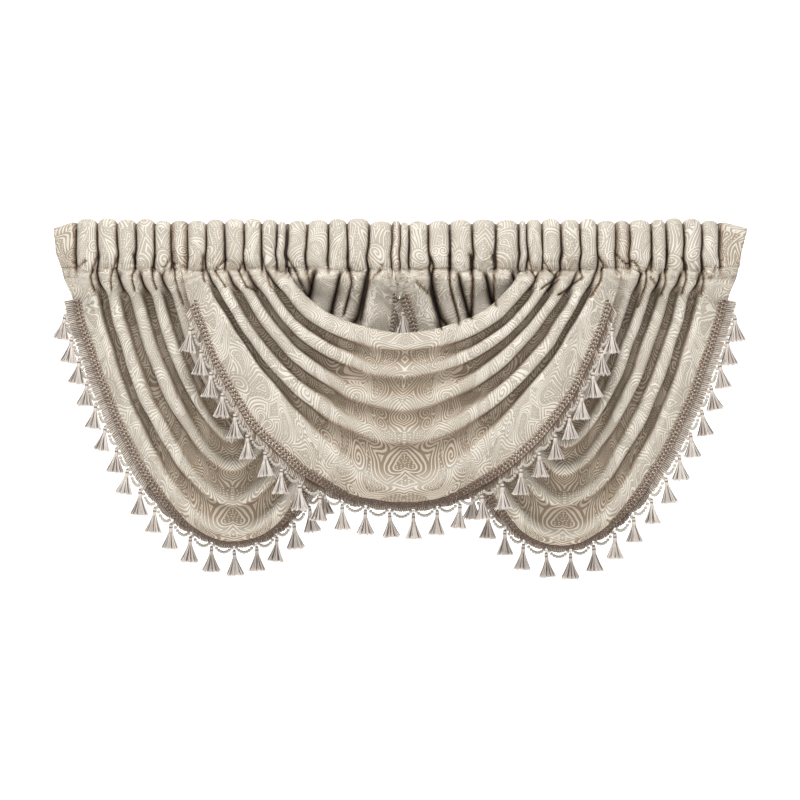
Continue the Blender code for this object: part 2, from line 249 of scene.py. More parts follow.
# Main creases of the gathers: half width, depth, and the path as x and drop
creases = [
    (2.6, 8, [(-545, 65), (-553, 103), (-549, 130)]),
    (2.4, 8, [(-511, 68), (-516, 103), (-517, 126)]),
    (2.4, 8, [(-477, 64), (-472, 81), (-479, 103), (-476, 129)]),
    (2.6, 8, [(-437, 68), (-445, 94), (-437, 126)]),
    (2.2, 6, [(-408, 61), (-425, 99)]),
    (2.4, 7, [(-406, 81), (-398, 129), (-390, 155)]),
    (2.2, 5, [(-588, 78), (-573, 88), (-562, 76)]),
    (2.4, 7, [(-352, 68), (-354, 94), (-347, 116)]),
    (2.4, 7, [(-313, 74), (-331, 94), (-309, 126)]),
    (2.4, 7, [(-275, 68), (-289, 94), (-273, 126), (-257, 132)]),
    (2.2, 6, [(-246, 68), (-239, 97), (-231, 126)]),
    (2.4, 8, [(-202, 66), (-187, 97), (-167, 139)]),
    (2.4, 7, [(-166, 68), (-167, 94), (-162, 119)]),
    (3.4, 9, [(-95, 70), (-86, 116), (-102, 175)]),
    (3.0, 9, [(-57, 78), (-56, 113), (-72, 185)]),
    (2.2, 6, [(-29, 84), (-49, 110)]),
    (3.2, 9, [(54, 70), (60, 90), (54, 126), (74, 200)]),
    (2.6, 7, [(28, 113), (54, 135)]),
    (3.4, 9, [(88, 66), (89, 119), (106, 192)]),
    (3.8, 10, [(124, 66), (130, 110), (128, 180)]),
    (2.4, 8, [(168, 66), (168, 119), (171, 160)]),
    (2.2, 7, [(227, 68), (244, 116)]),
    (2.2, 7, [(253, 70), (282, 113), (262, 131)]),
    (2.4, 7, [(288, 68), (286, 103), (250, 128)]),
    (2.4, 8, [(321, 68), (324, 110), (279, 139)]),
    (2.6, 8, [(353, 66), (364, 85), (355, 117), (340, 142)]),
    (2.4, 7, [(387, 62), (405, 83), (418, 76), (433, 100)]),
    (2.6, 8, [(449, 74), (441, 94), (438, 124), (426, 158)]),
    (2.2, 6, [(446, 108), (467, 126)]),
    (2.6, 8, [(474, 58), (475, 85), (473, 122), (468, 138)]),
    (2.6, 8, [(504, 72), (513, 83), (511, 112), (507, 137)]),
    (2.4, 8, [(540, 76), (543, 112), (541, 137)]),
    (2.2, 5, [(543, 90), (552, 110), (563, 104), (564, 85)]),
]


# How deep the creases are at each place
def creased(x, drop):
    depth = np.zeros(np.shape(x))
    for half, deep, path in creases:
        for (x0, drop0), (x1, drop1) in zip(path, path[1:]):
            long = (x1 - x0) ** 2 + (drop1 - drop0) ** 2
            t = np.clip(((x - x0) * (x1 - x0) + (drop - drop0) * (drop1 - drop0)) / long, 0, 1)
            apart = np.hypot(x - mix(x0, x1, t), drop - mix(drop0, drop1, t))
            depth = np.maximum(depth, deep * np.exp(-(apart / half / 0.8) ** 2))
    return depth


# The x of each pleat's edges, and how far each pleat's top drops
pleatGroups = [
    ((-580, -543, -508, -474, -440, -410), (1, 0, 2, 1, 4)),
    ((-382, -348, -314, -278, -247, -221, -205), (4, 2, 1, 1, 2, 6)),
    ((-202, -167, -128, -94, -56, -14), (4, 3, 1, 0, 5)),
    ((0, 16, 52, 90, 130, 172, 211), (7, 5, 4, 3, 2, 3)),
    ((212, 226, 255, 288, 322, 353, 387), (4, 2, 1, 2, 1, 4)),
    ((412, 450, 476, 509, 542, 573), (3, 2, 0, 1, 4)),
]


heading = {
    "height": 90,
    "frontHeight": 75,
    "seamHalf": 12,
    "pleatDepth": 17,
    "backDepth": 8,
    "valleyTop": 9,
    "shoulder": 15,
    "flapReach": 626,
    "flapFoot": 608,
    "flapFullness": 0.5,
    "flapTop": 13,
    "wall": 1.6,
    "gap": 3.4,
    "acrossPleat": 14,
    "acrossRecess": 5,
    "recessLeast": 6,
    "recessFullness": 0.62,
    "bulgeRise": 20,
    "footShare": 0.6,
    "waist": 5,
    "crumple": 2.4,
    "crumpleRise": 18,
}


# Each column's x at the top and the foot, fullness (1 on a pleat) and top drop
def headingColumns():
    columns = []

    def addFlap(side, shares):
        start = -pleatGroups[0][0][0] if side < 0 else pleatGroups[-1][0][-1]
        for t in shares:
            topX = side * mix(start, heading["flapReach"], t)
            footX = side * mix(start, heading["flapFoot"], t)
            columns.append((topX, footX, heading["flapFullness"] * smooth(t * 6), heading["flapTop"] * t))

    addFlap(-1, np.linspace(1, 0.08, 9))
    before = None
    for edges, drops in pleatGroups:
        if before is not None and edges[0] - before > heading["recessLeast"]:
            for t in np.linspace(0, 1, heading["acrossRecess"] + 2)[1:-1]:
                x = mix(before, edges[0], t)
                columns.append((x, x, heading["recessFullness"] * math.sin(math.pi * t) ** 0.7, 0))
        columns.append((edges[0], edges[0], 0, 0))
        for start, end, drop in zip(edges, edges[1:], drops):
            for i in range(heading["acrossPleat"] + 1):
                t = (1 - math.cos(math.pi * i / heading["acrossPleat"])) / 2
                x = mix(start + heading["gap"] / 2, end - heading["gap"] / 2, t)
                columns.append((x, x, (1 - abs(2 * t - 1) ** 2.6) ** 0.55, drop))
            columns.append((end, end, 0, 0))
        before = edges[-1]
    addFlap(1, np.linspace(0.08, 1, 9))
    return np.array(columns).T


headingTopX, headingFootX, headingFull, headingDrop = headingColumns()


# Where the heading's front stands at a height over its seam: it draws in unevenly there
def headingFront(rise):
    depth = heading["pleatDepth"] * (1 + 0.14 * noise(headingTopX / 36, 0, 31))
    share = heading["footShare"] + 0.35 * noise(headingTopX / 30, 0, 38)
    bulge = 1 - (1 - share) * (1 - min(1, rise / heading["bulgeRise"])) ** 2.2
    return -heading["seamHalf"] - (2 + depth * headingFull) * bulge * (
        1 - 0.12 * (rise / heading["frontHeight"]) ** 2)


# Painted shade of the heading: near black in the gaps between pleats, full light on them
headingLight = mix(0.02, 1, smooth(headingFull * 1.5))


# How far the seam under the heading wanders up and down: each pleat ends round, at its own
# height
def seamWander(x):
    edges = np.concatenate([group for group, _ in pleatGroups]).astype(float)
    number = np.clip(np.searchsorted(edges, x) - 1, 0, len(edges) - 2)
    t = (x - edges[number]) / (edges[number + 1] - edges[number])
    low = 4.5 + 5 * hashed(number, number * 0, 53)
    return 3 - low * np.sin(math.pi * np.clip(t, 0, 1)) ** 0.8 + 1.2 * noise(x / 6, 0, 52)


# Crumples beside the seam: puffs with sharp pinches between them
def crumpled(x, drop):
    wave = noise(x / 15 + drop / 40, drop / 19 - x / 45, 9) + 0.3 * noise(x / 6, drop / 9, 10)
    return 1.5 * np.minimum(1, np.abs(wave) * 3.4) - 1


# Painted shade in creases and crumples: what they leave of the light
def shaded(light, trough, crumple):
    inCrease = (1 - cloth["creaseShade"] * trough).clip(0, 1)
    return light * inCrease * (1 - cloth["crumpleShade"] * np.maximum(-crumple, 0))


# Reads a shape's way, height and light at even steps along it, rounded by a spline
def shapeAt(name, t):
    table = np.array(foldShapes[name], float)
    place = t * (len(table) - 1)
    i = np.clip(np.floor(place).astype(int), 0, len(table) - 2)
    f = (place - i)[:, None]
    before, a = table[np.maximum(i - 1, 0)], table[i]
    b, after = table[i + 1], table[np.minimum(i + 2, len(table) - 1)]
    return (a + 0.5 * f * (b - before + f * (2 * before - 5 * a + 4 * b - after
            + f * (3 * (a - b) + after - before))))


def roundedPower(share, power, rounding=0.1):
    low = rounding ** power
    high = (1 + rounding ** 2) ** (power / 2) - low
    return ((share ** 2 + rounding ** 2) ** (power / 2) - low) / high


def lineAnchors(swag):
    (l0, l1), (r0, r1) = swag["legs"]
    folds = [(mix(l0, l1, (4.5 - i) / 5), mix(r0, r1, (i + 0.5) / 5)) for i in range(5)]
    return [(l1, r0), *folds, (l0 - swag["overhang"][0], r1 + swag["overhang"][1])]


def onLine(line, ends, reach, plumb=(0, 0)):
    lowX, lowZ, power, steep = line
    out = 1 - (1 - np.abs(reach)) ** 1.3
    rise = mix(roundedPower(out, power), out ** 7, steep)
    rise -= np.where(reach < 0, *plumb) * smooth((out - 0.45) / 0.55) * (1 - out ** 60)
    side = np.where(reach < 0, ends[0], ends[1])
    return mix(lowX, side, out), mix(lowZ, cloth["top"], rise)


def clothDepth(swag, reach, x, z, height):
    drop = -z + cloth["top"]
    valley = mix(*swag["depths"], smooth(drop / cloth["hangLength"]))
    belly = swag["belly"] * (1 - reach ** 2) ** 2
    pinch = mix(cloth["pinchShare"], 1, smooth(drop / cloth["pinchLength"]))
    fullness = mix(cloth["middleShare"], 1, smooth((np.abs(reach) - 0.08) / 0.5))
    return valley - belly - cloth["foldDepth"] * pinch * fullness * height - gathered(swag, x, drop, height)


def shownBeside(swag, x):
    inner, outer = swag["behind"]
    return np.maximum(smooth((inner - np.abs(x)) / 14), smooth((np.abs(x) - outer) / 14))


# How far the cloth stands out where it is gathered under the heading, in puffs that
# fade where the centre swag hides them
def gathered(swag, x, drop, height):
    shown = shownBeside(swag, x)
    puff = cloth["puff"] * np.exp(-((drop - cloth["puffDrop"]) / cloth["puffLength"]) ** 2)
    uneven = 1 + 0.45 * noise(x / 31, drop / 60, 5)
    forward = swag["gather"] * (1 - smooth((drop - 5) / cloth["gatherLength"]))
    crumple = cloth["crumple"] * crumpled(x, drop) * smooth(1.35 - drop / 40)
    lap = swag["lap"] * smooth((26 - np.abs(x)) / 16)
    return shown * (forward + puff * uneven * (0.35 + 0.65 * height) + crumple) + lap


# How much the hem is turned under, most at its low point
def turnedUnder(reach):
    return 1 - smooth((np.abs(reach) - 0.1) / 0.4)


# All the points of a swag's cloth as rows (rim to hem) by columns (left to right), and
# the painted shade there
def swagGrid(side, columns, rowsPerFold):
    swag = swags[side]
    seed = 20 * list(swags).index(side)
    reach = np.linspace(-1, 1, columns)
    lines = [onLine(l, e, reach) for l, e in zip(swagLines[side][:-1], lineAnchors(swag))]
    hemX, hemZ = onLine(swagLines[side][-1], lineAnchors(swag)[-1], reach, swag["plumb"])
    hemX = hemX + swag["flare"] * np.exp(-((hemZ + 200) / 42) ** 2) * (np.abs(hemX) < 120)
    lines.append((hemX, hemZ))
    sides = smooth((np.abs(reach) - 0.1) / 0.45)
    crests = [1 + 0.13 * noise(reach * 5, i * 3.7, seed + 1) for i in range(len(lines))]
    rows, lights = [], []

    def addRow(i, t, way, height, light, push=0):
        upper, lower = lines[i], lines[i + 1]
        x, z = mix(upper[0], lower[0], way), mix(upper[1], lower[1], way)
        height = np.broadcast_to(height, reach.shape)
        uneven = height * mix(crests[i], crests[i + 1], t)
        rows.append(np.stack([x, clothDepth(swag, reach, x, z, uneven) + push, z]))
        lights.append(np.broadcast_to(light, reach.shape))

    rimRows = max(4, rowsPerFold // 3)
    for i in range(rimRows):
        t = i / rimRows
        addRow(0, t, t, mix(0.45, 1, math.sin(t * math.pi / 2)), 0.9 + 0.1 * t)
    steps = np.linspace(0, 1, rowsPerFold + 1)[:-1]
    rolled, soft, puffed = (shapeAt(name, steps) for name in ("rolled", "soft", "puffed"))
    for i in range(1, len(lines) - 2):
        drop = cloth["top"] - mix(lines[i][1], lines[i + 1][1], 0.5)
        inner = smooth((swag["behind"][0] - np.abs(lines[i][0])) / 20)
        low = smooth((drop - 24 - 63 * inner) / 28 + 0.22 * noise(reach * 9, i * 2.3, seed + 2))
        sway = 0.05 * noise(reach * 6, i * 5.1, seed + 3)
        for t, r, s, p in zip(steps, rolled, soft, puffed):
            way, height, light = (mix(p[k], mix(s[k], r[k], sides), low) for k in range(3))
            addRow(i, t, way + sway * math.sin(math.pi * t) ** 2, height, light)
    curled = turnedUnder(reach)
    for i in range(rowsPerFold + 1):
        t = i / rowsPerFold
        way = mix(t, math.sin(math.pi / 2 * t), curled)
        fall = mix(smooth(t), smooth(t / 0.3), curled)
        # Painted shade on the hem where it turns under, darkest towards its edge
        light = mix(1, mix(0.88, 0.72, curled), fall) * (1 - 0.4 * curled * smooth((t - 0.55) / 0.4))
        push = cloth["hemCurl"] * curled * (1 - math.cos(math.pi / 2 * t))
        height = mix(1, cloth["hemHeight"], mix(t, smooth(t / 0.3), curled))
        addRow(len(lines) - 2, t, way, height, light, push)
    grid = np.stack(rows).transpose(0, 2, 1)
    light = np.clip(np.stack(lights), 0, 1)
    x, z = grid[..., 0] / 46, grid[..., 2] / 46
    drop = cloth["top"] - grid[..., 2]
    sewn = np.exp(-(drop / cloth["seamLength"]) ** 2) * shownBeside(swag, grid[..., 0])
    foot = np.interp(grid[..., 0], headingFootX, headingFront(0))
    grid[..., 1] = mix(grid[..., 1], foot, sewn)
    # At the seam the painted shade runs on from the heading's
    light = mix(light, np.interp(grid[..., 0], headingFootX, headingLight), sewn)
    trough = creased(grid[..., 0], -grid[..., 2])
    crumple = crumpled(grid[..., 0], drop) * smooth(1.35 - drop / 40)
    light = shaded(light, trough, crumple)
    hang = smooth((drop - 8) / 60)
    grid[..., 0] += hang * 2.2 * noise(x, z, seed + 4)
    grid[..., 2] += hang * 2.2 * noise(x, z, seed + 5) + seamWander(grid[..., 0]) * np.exp(-drop / 12)
    uneven = 1.6 * noise(x * 2.1, z * 1.3, seed + 6) + 0.6 * noise(x * 5, z * 4, seed + 7)
    grid[..., 1] += hang * uneven + trough
    return grid, light, reach


def gridNormals(grid):
    down = np.gradient(grid, axis=0)
    across = np.gradient(grid, axis=1)
    n = np.cross(down, across)
    return n / np.maximum(np.linalg.norm(n, axis=2, keepdims=True), 1e-9)


# Lengths along the cloth in metres: u across from the middle column, v down from the rim
def clothUv(grid):
    across = np.linalg.norm(np.diff(grid, axis=1), axis=2)
    u = np.concatenate([np.zeros((len(grid), 1)), np.cumsum(across, axis=1)], axis=1)
    u -= u[:, [grid.shape[1] // 2]]
    long = u[:, [-1]] - u[:, [0]]
    u *= (long.mean() / long) ** 0.5
    down = np.linalg.norm(np.diff(grid, axis=0), axis=2)
    v = np.concatenate([np.zeros((1, grid.shape[1])), np.cumsum(down, axis=0)], axis=0)
    return np.stack([u, v], axis=2) * mm


# A sheet of cloth with its lengths as a UV map and its painted shade as an attribute
def gridMesh(name, grid, uv, paintedShades, material, thickness, closed=False):
    rows, columns = grid.shape[:2]
    index = np.arange(rows * columns).reshape(rows, columns)
    if closed:
        index = np.concatenate([index, index[:1]])
    quads = np.stack([index[:-1, :-1], index[1:, :-1], index[1:, 1:], index[:-1, 1:]], axis=2)
    piece = meshObject(name, grid, quads.reshape(-1, 4).tolist())
    mesh = piece.data
    layer = mesh.uv_layers.new(name="cloth")
    corners = np.zeros(len(mesh.loops), dtype=np.int32)
    mesh.loops.foreach_get("vertex_index", corners)
    places = uv.reshape(-1, 2)[corners]
    if closed:
        lastRow = np.repeat(np.arange(rows), columns - 1) == rows - 1
        atSeam = np.repeat(lastRow, 4) & (corners < columns)
        places[atSeam, 1] = uv[-1, 0, 1] + (uv[1, 0, 1] - uv[0, 0, 1])
    layer.data.foreach_set("uv", places.ravel())
    paintedShade = mesh.attributes.new("paintedShade", "FLOAT", "POINT")
    paintedShade.data.foreach_set("value", paintedShades.ravel().astype(np.float32))
    mesh.materials.append(material)
    mesh.shade_smooth()
    solid = piece.modifiers.new("thickness", "SOLIDIFY")
    solid.thickness = thickness * mm
    solid.offset = 0
    return piece


# Jacquard: matt cream figures of yarn raised on a taupe satin ground

weave = {
    "ground": "#97856f",
    "groundLight": "#b1a38f",
    "figure": "#e9e2d5",
    "cellWide": 130,
    "cellHigh": 170,
    "warp": 30,
    "warpScale": 120,
    "echoPitch": 5.3,
    "corePitch": 4.1,
    "dotPitch": 4.2,
    "echoReach": 14,
    "outline": 0.62,
    "groundRough": 0.4,
    "figureRough": 0.7,
    "paintedSheenOnCrests": 0.42,
}
# Painted shade multiplied into the cloth's colour, from the depth of a fold to its crest
paintedFoldShade = [
    (0, "#3a2e26"), (1, "#ffffff"), (0.14, "#64544a"), (0.4, "#beb0a3"), (0.66, "#dcd3c9"),
    (0.88, "#fbf9f7"),
]

# Teardrops of one cell: centre of the bulb, its radius, the drop's length, its turn and
# how far its tail curls
motifs = [
    (38, 42, 19, 66, 35, 0.55),
    (95, 28, 13, 50, -62, -0.6),
    (103, 98, 21, 74, 196, 0.5),
    (42, 122, 15, 58, 118, -0.5),
    (78, 152, 11, 46, 20, 0.6),
    (10, 86, 10, 42, -12, 0.4),
]
# Scrolls of one cell: centre and radius
scrolls = [(66, 76, 17), (24, 160, 15), (122, 58, 14), (70, 8, 13)]


def addMotif(tree, place, motif):
    x, y, bulb, length, turn, curl = motif
    moved = addNode(tree, "ShaderNodeVectorMath", "SUBTRACT", {0: place, 1: (x, y, 0)})
    turned = addNode(tree, "ShaderNodeVectorRotate", {"rotation_type": "Z_AXIS"},
                     {"Vector": moved, "Angle": math.radians(turn)})
    axes = addNode(tree, "ShaderNodeSeparateXYZ", None, {0: turned}).outputs
    squared = addNode(tree, "ShaderNodeMath", "MULTIPLY", {0: axes["Y"], 1: axes["Y"]})
    bent = addNode(tree, "ShaderNodeMath", "MULTIPLY_ADD", {0: squared, 1: curl / length, 2: axes["X"]})
    share = addNode(tree, "ShaderNodeMapRange", None, {"Value": axes["Y"], "From Max": length})
    past = addNode(tree, "ShaderNodeMath", "MULTIPLY_ADD", {0: share, 1: -length, 2: axes["Y"]})
    offset = addNode(tree, "ShaderNodeCombineXYZ", None, {0: bent, 1: past})
    apart = addNode(tree, "ShaderNodeVectorMath", "LENGTH", {0: offset})
    radius = addNode(tree, "ShaderNodeMapRange", None, {"Value": share, "To Min": bulb, "To Max": 0})
    return addNode(tree, "ShaderNodeMath", "SUBTRACT", {0: apart.outputs["Value"], 1: radius})


# A spiral of yarn in a scroll, as its line and the distance from its centre
def addScroll(tree, place, scroll):
    x, y, radius = scroll
    moved = addNode(tree, "ShaderNodeVectorMath", "SUBTRACT", {0: place, 1: (x, y, 0)})
    axes = addNode(tree, "ShaderNodeSeparateXYZ", None, {0: moved}).outputs
    angle = addNode(tree, "ShaderNodeMath", "ARCTAN2", {0: axes["Y"], 1: axes["X"]})
    apart = addNode(tree, "ShaderNodeVectorMath", "LENGTH", {0: moved}).outputs["Value"]
    wound = addNode(tree, "ShaderNodeMath", "MULTIPLY_ADD",
                    {0: angle, 1: -weave["echoPitch"] / math.tau, 2: apart})
    return wound, apart


# Lines of yarn where a distance is near whole pitches; share is how much of the pitch they
# cover
def addLines(tree, distance, pitch, share):
    wave = addNode(tree, "ShaderNodeMath", "PINGPONG", {0: distance, 1: pitch / 2})
    wide = addNode(tree, "ShaderNodeMath", "MULTIPLY_ADD", {0: wave, 1: 2 / pitch, 2: share})
    return addNode(tree, "ShaderNodeMapRange", {"interpolation_type": "SMOOTHSTEP"},
                   {"Value": wide, "From Min": 0.84, "From Max": 1.16})


# One pattern that turns into another while a value passes from start to end
def addTurn(tree, value, start, end, before, after):
    share = addNode(tree, "ShaderNodeMapRange", {"interpolation_type": "SMOOTHSTEP"},
                    {"Value": value, "From Min": start, "From Max": end})
    return addNode(tree, "ShaderNodeMix", None, {"Factor": share, "A": before, "B": after})


# The figure of the weave, 1 on cream yarn and 0 on the ground
def addFigure(tree):
    uvMap = addNode(tree, "ShaderNodeUVMap", {"uv_map": "cloth"})
    inMm = addNode(tree, "ShaderNodeVectorMath", "SCALE", {0: uvMap, "Scale": 1000.0})
    axes = addNode(tree, "ShaderNodeSeparateXYZ", None, {0: inMm}).outputs
    mirrored = addNode(tree, "ShaderNodeMath", "ABSOLUTE", {0: axes["X"]})
    place = addNode(tree, "ShaderNodeCombineXYZ", None, {0: mirrored, 1: axes["Y"]})
    drift = addNode(tree, "ShaderNodeTexNoise", {"noise_dimensions": "2D"},
                    {"Vector": place, "Scale": 1 / weave["warpScale"], "Detail": 1.0})
    centred = addNode(tree, "ShaderNodeVectorMath", "SUBTRACT",
                      {0: drift.outputs["Color"], 1: (0.5, 0.5, 0.5)})
    warped = addNode(tree, "ShaderNodeVectorMath", "MULTIPLY_ADD",
                     {0: centred, 1: (weave["warp"] * 2,) * 3, 2: place})
    axes = addNode(tree, "ShaderNodeSeparateXYZ", None, {0: warped}).outputs
    cellX = addNode(tree, "ShaderNodeMath", "PINGPONG", {0: axes["X"], 1: weave["cellWide"]})
    cellY = addNode(tree, "ShaderNodeMath", "PINGPONG", {0: axes["Y"], 1: weave["cellHigh"]})
    cell = addNode(tree, "ShaderNodeCombineXYZ", None, {0: cellX, 1: cellY})

    # Pointed medallions stand on the mirror line
    rise = addNode(tree, "ShaderNodeMath", "SUBTRACT", {0: cellY, 1: 52.0})
    rise = addNode(tree, "ShaderNodeMath", "ABSOLUTE", {0: rise})
    rise = addNode(tree, "ShaderNodeMath", "MULTIPLY", {0: rise, 1: 0.6})
    slant = addNode(tree, "ShaderNodeMath", "MULTIPLY_ADD", {0: cellX, 1: 0.8, 2: rise})
    distance = addNode(tree, "ShaderNodeMath", "SUBTRACT", {0: slant, 1: 15.0})
    for motif in motifs:
        drop = addMotif(tree, cell, motif)
        distance = addNode(tree, "ShaderNodeMath", "MINIMUM", {0: distance, 1: drop})

    dense = addNode(tree, "ShaderNodeTexNoise", {"noise_dimensions": "2D"},
                    {"Vector": place, "Scale": 1 / 58, "Detail": 1.0})
    share = addNode(tree, "ShaderNodeMapRange", None, {
        "Value": dense.outputs["Fac"], "From Min": 0.34, "From Max": 0.64, "To Min": 0.34, "To Max": 0.8})
    echo = addLines(tree, distance, weave["echoPitch"], share)
    core = addLines(tree, distance, weave["corePitch"], 0.5)
    dots = addNode(tree, "ShaderNodeTexVoronoi", {"voronoi_dimensions": "2D"},
                   {"Vector": warped, "Scale": 1 / weave["dotPitch"], "Randomness": 0.35})
    dots = addTurn(tree, dots.outputs["Distance"], 0.42, 0.2, 0.0, 1.0)
    grain = addNode(tree, "ShaderNodeTexNoise", {"noise_dimensions": "2D"},
                    {"Vector": warped, "Scale": 1 / 62, "Detail": 0.5})
    flow = addNode(tree, "ShaderNodeMath", "MULTIPLY", {0: grain.outputs["Fac"], 1: 150.0})
    flow = addLines(tree, flow, weave["echoPitch"], share)
    patch = addNode(tree, "ShaderNodeTexNoise", {"noise_dimensions": "2D"},
                    {"Vector": place, "Scale": 1 / 48, "Detail": 0.0})
    filler = addTurn(tree, patch.outputs["Fac"], 0.5, 0.53, flow, dots)

    reach = weave["echoReach"]
    figure = addTurn(tree, distance, reach - 0.5, reach + 0.5, echo, filler)
    ring = addTurn(tree, distance, -9.5, -10.5, dots, core)
    figure = addTurn(tree, distance, -3.2, -3.8, figure, ring)
    for scroll in scrolls:
        wound, apart = addScroll(tree, cell, scroll)
        spiral = addLines(tree, wound, weave["echoPitch"], share)
        figure = addTurn(tree, apart, scroll[2], scroll[2] - 1.5, figure, spiral)
    return figure, inMm


# Gives a colour ramp its stops: its two ends first, then those between
def setStops(ramp, tones):
    stops = ramp.color_ramp.elements
    for i, (place, colour) in enumerate(tones):
        stop = stops[i] if i < 2 else stops.new(place)
        stop.position = place
        stop.color = linear(colour)


# Dull cream yarn with dark outlines round its figures, over a ground that shines softly;
# painted shade darkens the folds and a painted sheen whitens their crests
def makeJacquard():
    material, tree, shader = newMaterial("woven polyester jacquard")
    raised, inMm = addFigure(tree)
    figure = addTurn(tree, raised, 0.3, 0.7, 0.0, 1.0)
    # Dark outlines drawn round the figure's edges
    edge = addNode(tree, "ShaderNodeMath", "PINGPONG", {0: raised, 1: 0.5})
    edge = addNode(tree, "ShaderNodeMath", "MULTIPLY_ADD", {0: edge, 1: -2 * weave["outline"], 2: 1.0})
    paintedShade = addNode(tree, "ShaderNodeAttribute", {"attribute_name": "paintedShade"}).outputs["Fac"]
    # Painted sheen: towards the crests of the folds the figure turns to cream
    paintedSheen = addNode(tree, "ShaderNodeMapRange", None, {
        "Value": paintedShade, "From Min": 0.75, "To Max": weave["paintedSheenOnCrests"]})
    figure = addNode(tree, "ShaderNodeMix", None, {"Factor": paintedSheen, "A": figure, "B": 1.0})
    stain = addNode(tree, "ShaderNodeTexNoise", None, {"Vector": inMm, "Scale": 0.02, "Detail": 2.0})
    ground = addNode(tree, "ShaderNodeMix", {"data_type": "RGBA"}, {
        "Factor": stain.outputs["Fac"], "A": linear(weave["ground"]), "B": linear(weave["groundLight"])})
    colour = addNode(tree, "ShaderNodeMix", {"data_type": "RGBA"}, {
        "Factor": figure, "A": ground, "B": linear(weave["figure"])})
    darkOutline = addNode(tree, "ShaderNodeCombineColor", None, {0: edge, 1: edge, 2: edge})
    colour = addNode(tree, "ShaderNodeMix", {"data_type": "RGBA", "blend_type": "MULTIPLY"}, {
        "Factor": 1.0, "A": colour, "B": darkOutline})
    # Painted shade: the colour is multiplied by a ramp of the cloth's painted shade
    tones = addNode(tree, "ShaderNodeValToRGB", None, {"Fac": paintedShade})
    setStops(tones, paintedFoldShade)
    deep = addNode(tree, "ShaderNodeMix", {"data_type": "RGBA", "blend_type": "MULTIPLY"}, {
        "Factor": 1.0, "A": colour, "B": tones.outputs["Color"]})
    tree.links.new(next(s for s in deep.outputs if s.enabled), shader.inputs["Base Color"])
    gloss = addNode(tree, "ShaderNodeMapRange", None, {
        "Value": figure, "To Min": weave["groundRough"], "To Max": weave["figureRough"]})
    tree.links.new(gloss.outputs[0], shader.inputs["Roughness"])
    twill = addNode(tree, "ShaderNodeTexWave", {"bands_direction": "DIAGONAL"}, {
        "Vector": inMm, "Scale": 0.22, "Distortion": 0.6, "Detail": 1.0})
    relief = addNode(tree, "ShaderNodeMath", "MULTIPLY_ADD", {0: twill.outputs["Fac"], 1: 0.25, 2: raised})
    bump = addNode(tree, "ShaderNodeBump", None, {"Strength": 0.6, "Distance": 0.0005, "Height": relief})
    tree.links.new(bump.outputs[0], shader.inputs["Normal"])
    shader.inputs["Sheen Weight"].default_value = 0.12
    shader.inputs["Sheen Roughness"].default_value = 0.4
    return material


jacquard = makeJacquard()

swagCloth = {}
for side in swags:
    grid, paintedShades, reach = swagGrid(side, cloth["columns"], cloth["rowsPerFold"])
    swagCloth[side] = {"grid": grid, "normals": gridNormals(grid), "reach": reach}
    piece = gridMesh(f"cloth_{side}", grid, clothUv(grid), paintedShades, jacquard, cloth["thickness"])
    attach(piece, "root")
    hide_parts(f"swag_{side}")
print("swags draped")


# The heading: a pleated tube of the same cloth, open at both ends for the rod

# Rows up the front and the back as shares of their height, close where the cloth crumples
frontRises = (1, 0.93, 0.85, 0.76, 0.66, 0.56, 0.48, 0.41, 0.35, 0.3, 0.25, 0.21, 0.17, 0.13,
              0.09, 0.055, 0.025, 0)
backRises = (0, 0.12, 0.3, 0.5, 0.7, 0.86, 1)


# Rows down the front, through the seam, up the back and over the top
def headingGrid():
    topX, footX, full, drop = headingTopX, headingFootX, headingFull, headingDrop
    height, shoulder, front = heading["height"], heading["shoulder"], heading["frontHeight"]
    rows, paintedShades = [], []

    # A row of points with the painted shade it carries
    def addRow(y, z, paintedShade):
        x = mix(topX, footX, -z / height)
        lean = smooth((z + height) / 30)
        waist = heading["waist"] * noise(x / 27, z / 50, 39) * np.exp(-((z + 70) / 15) ** 2)
        rows.append(np.stack([x + lean * 1.8 * noise(x / 52, z / 60, 33) + waist, y, z]))
        paintedShades.append(np.broadcast_to(paintedShade, x.shape))

    def back(rise):
        return heading["seamHalf"] + (2 + heading["backDepth"] * full) * smooth(rise / 26)

    top = -drop - heading["valleyTop"] * (1 - full)
    seam = seamWander(topX)
    for rise in frontRises:
        z = mix(-height, top - shoulder, rise) + seam * (1 - rise) ** 4
        y = headingFront(rise * front)
        soft = 1.1 * noise(topX / 12, z / 34, 34) + 0.5 * noise(topX / 6, z / 10, 37)
        near = math.exp(-((rise * front - 7) / heading["crumpleRise"]) ** 2)
        crumple = crumpled(topX, cloth["top"] - z) * near
        trough = creased(topX, -z)
        y = y + soft * min(1, rise * 6) - heading["crumple"] * crumple + trough * min(1, rise * 12)
        addRow(y, z, shaded(headingLight, trough, crumple))
    # Painted shade: dark under the seam, dimmer up the back and over the top between the pleats
    for share in (0.3, 0.7):
        addRow(np.full_like(topX, mix(-1, 1, share) * heading["seamHalf"]), seam - height, 0.1)
    for rise in backRises:
        addRow(back(rise * front), mix(-height, top - shoulder, rise), 0.6 + 0.4 * full)
    shoulderFront, shoulderBack = headingFront(front), back(front)
    for turn in np.radians(np.linspace(180, 0, 11)[1:-1]):
        y = mix(shoulderFront, shoulderBack, (1 - math.cos(turn)) / 2)
        z = top - shoulder + shoulder * math.sin(turn) ** 0.75
        addRow(y + 0.5 * noise(topX / 9, y / 9, 36), z, mix(0.2, 1, smooth(full * 1.5)))
    return np.stack(rows).transpose(0, 2, 1), np.stack(paintedShades)


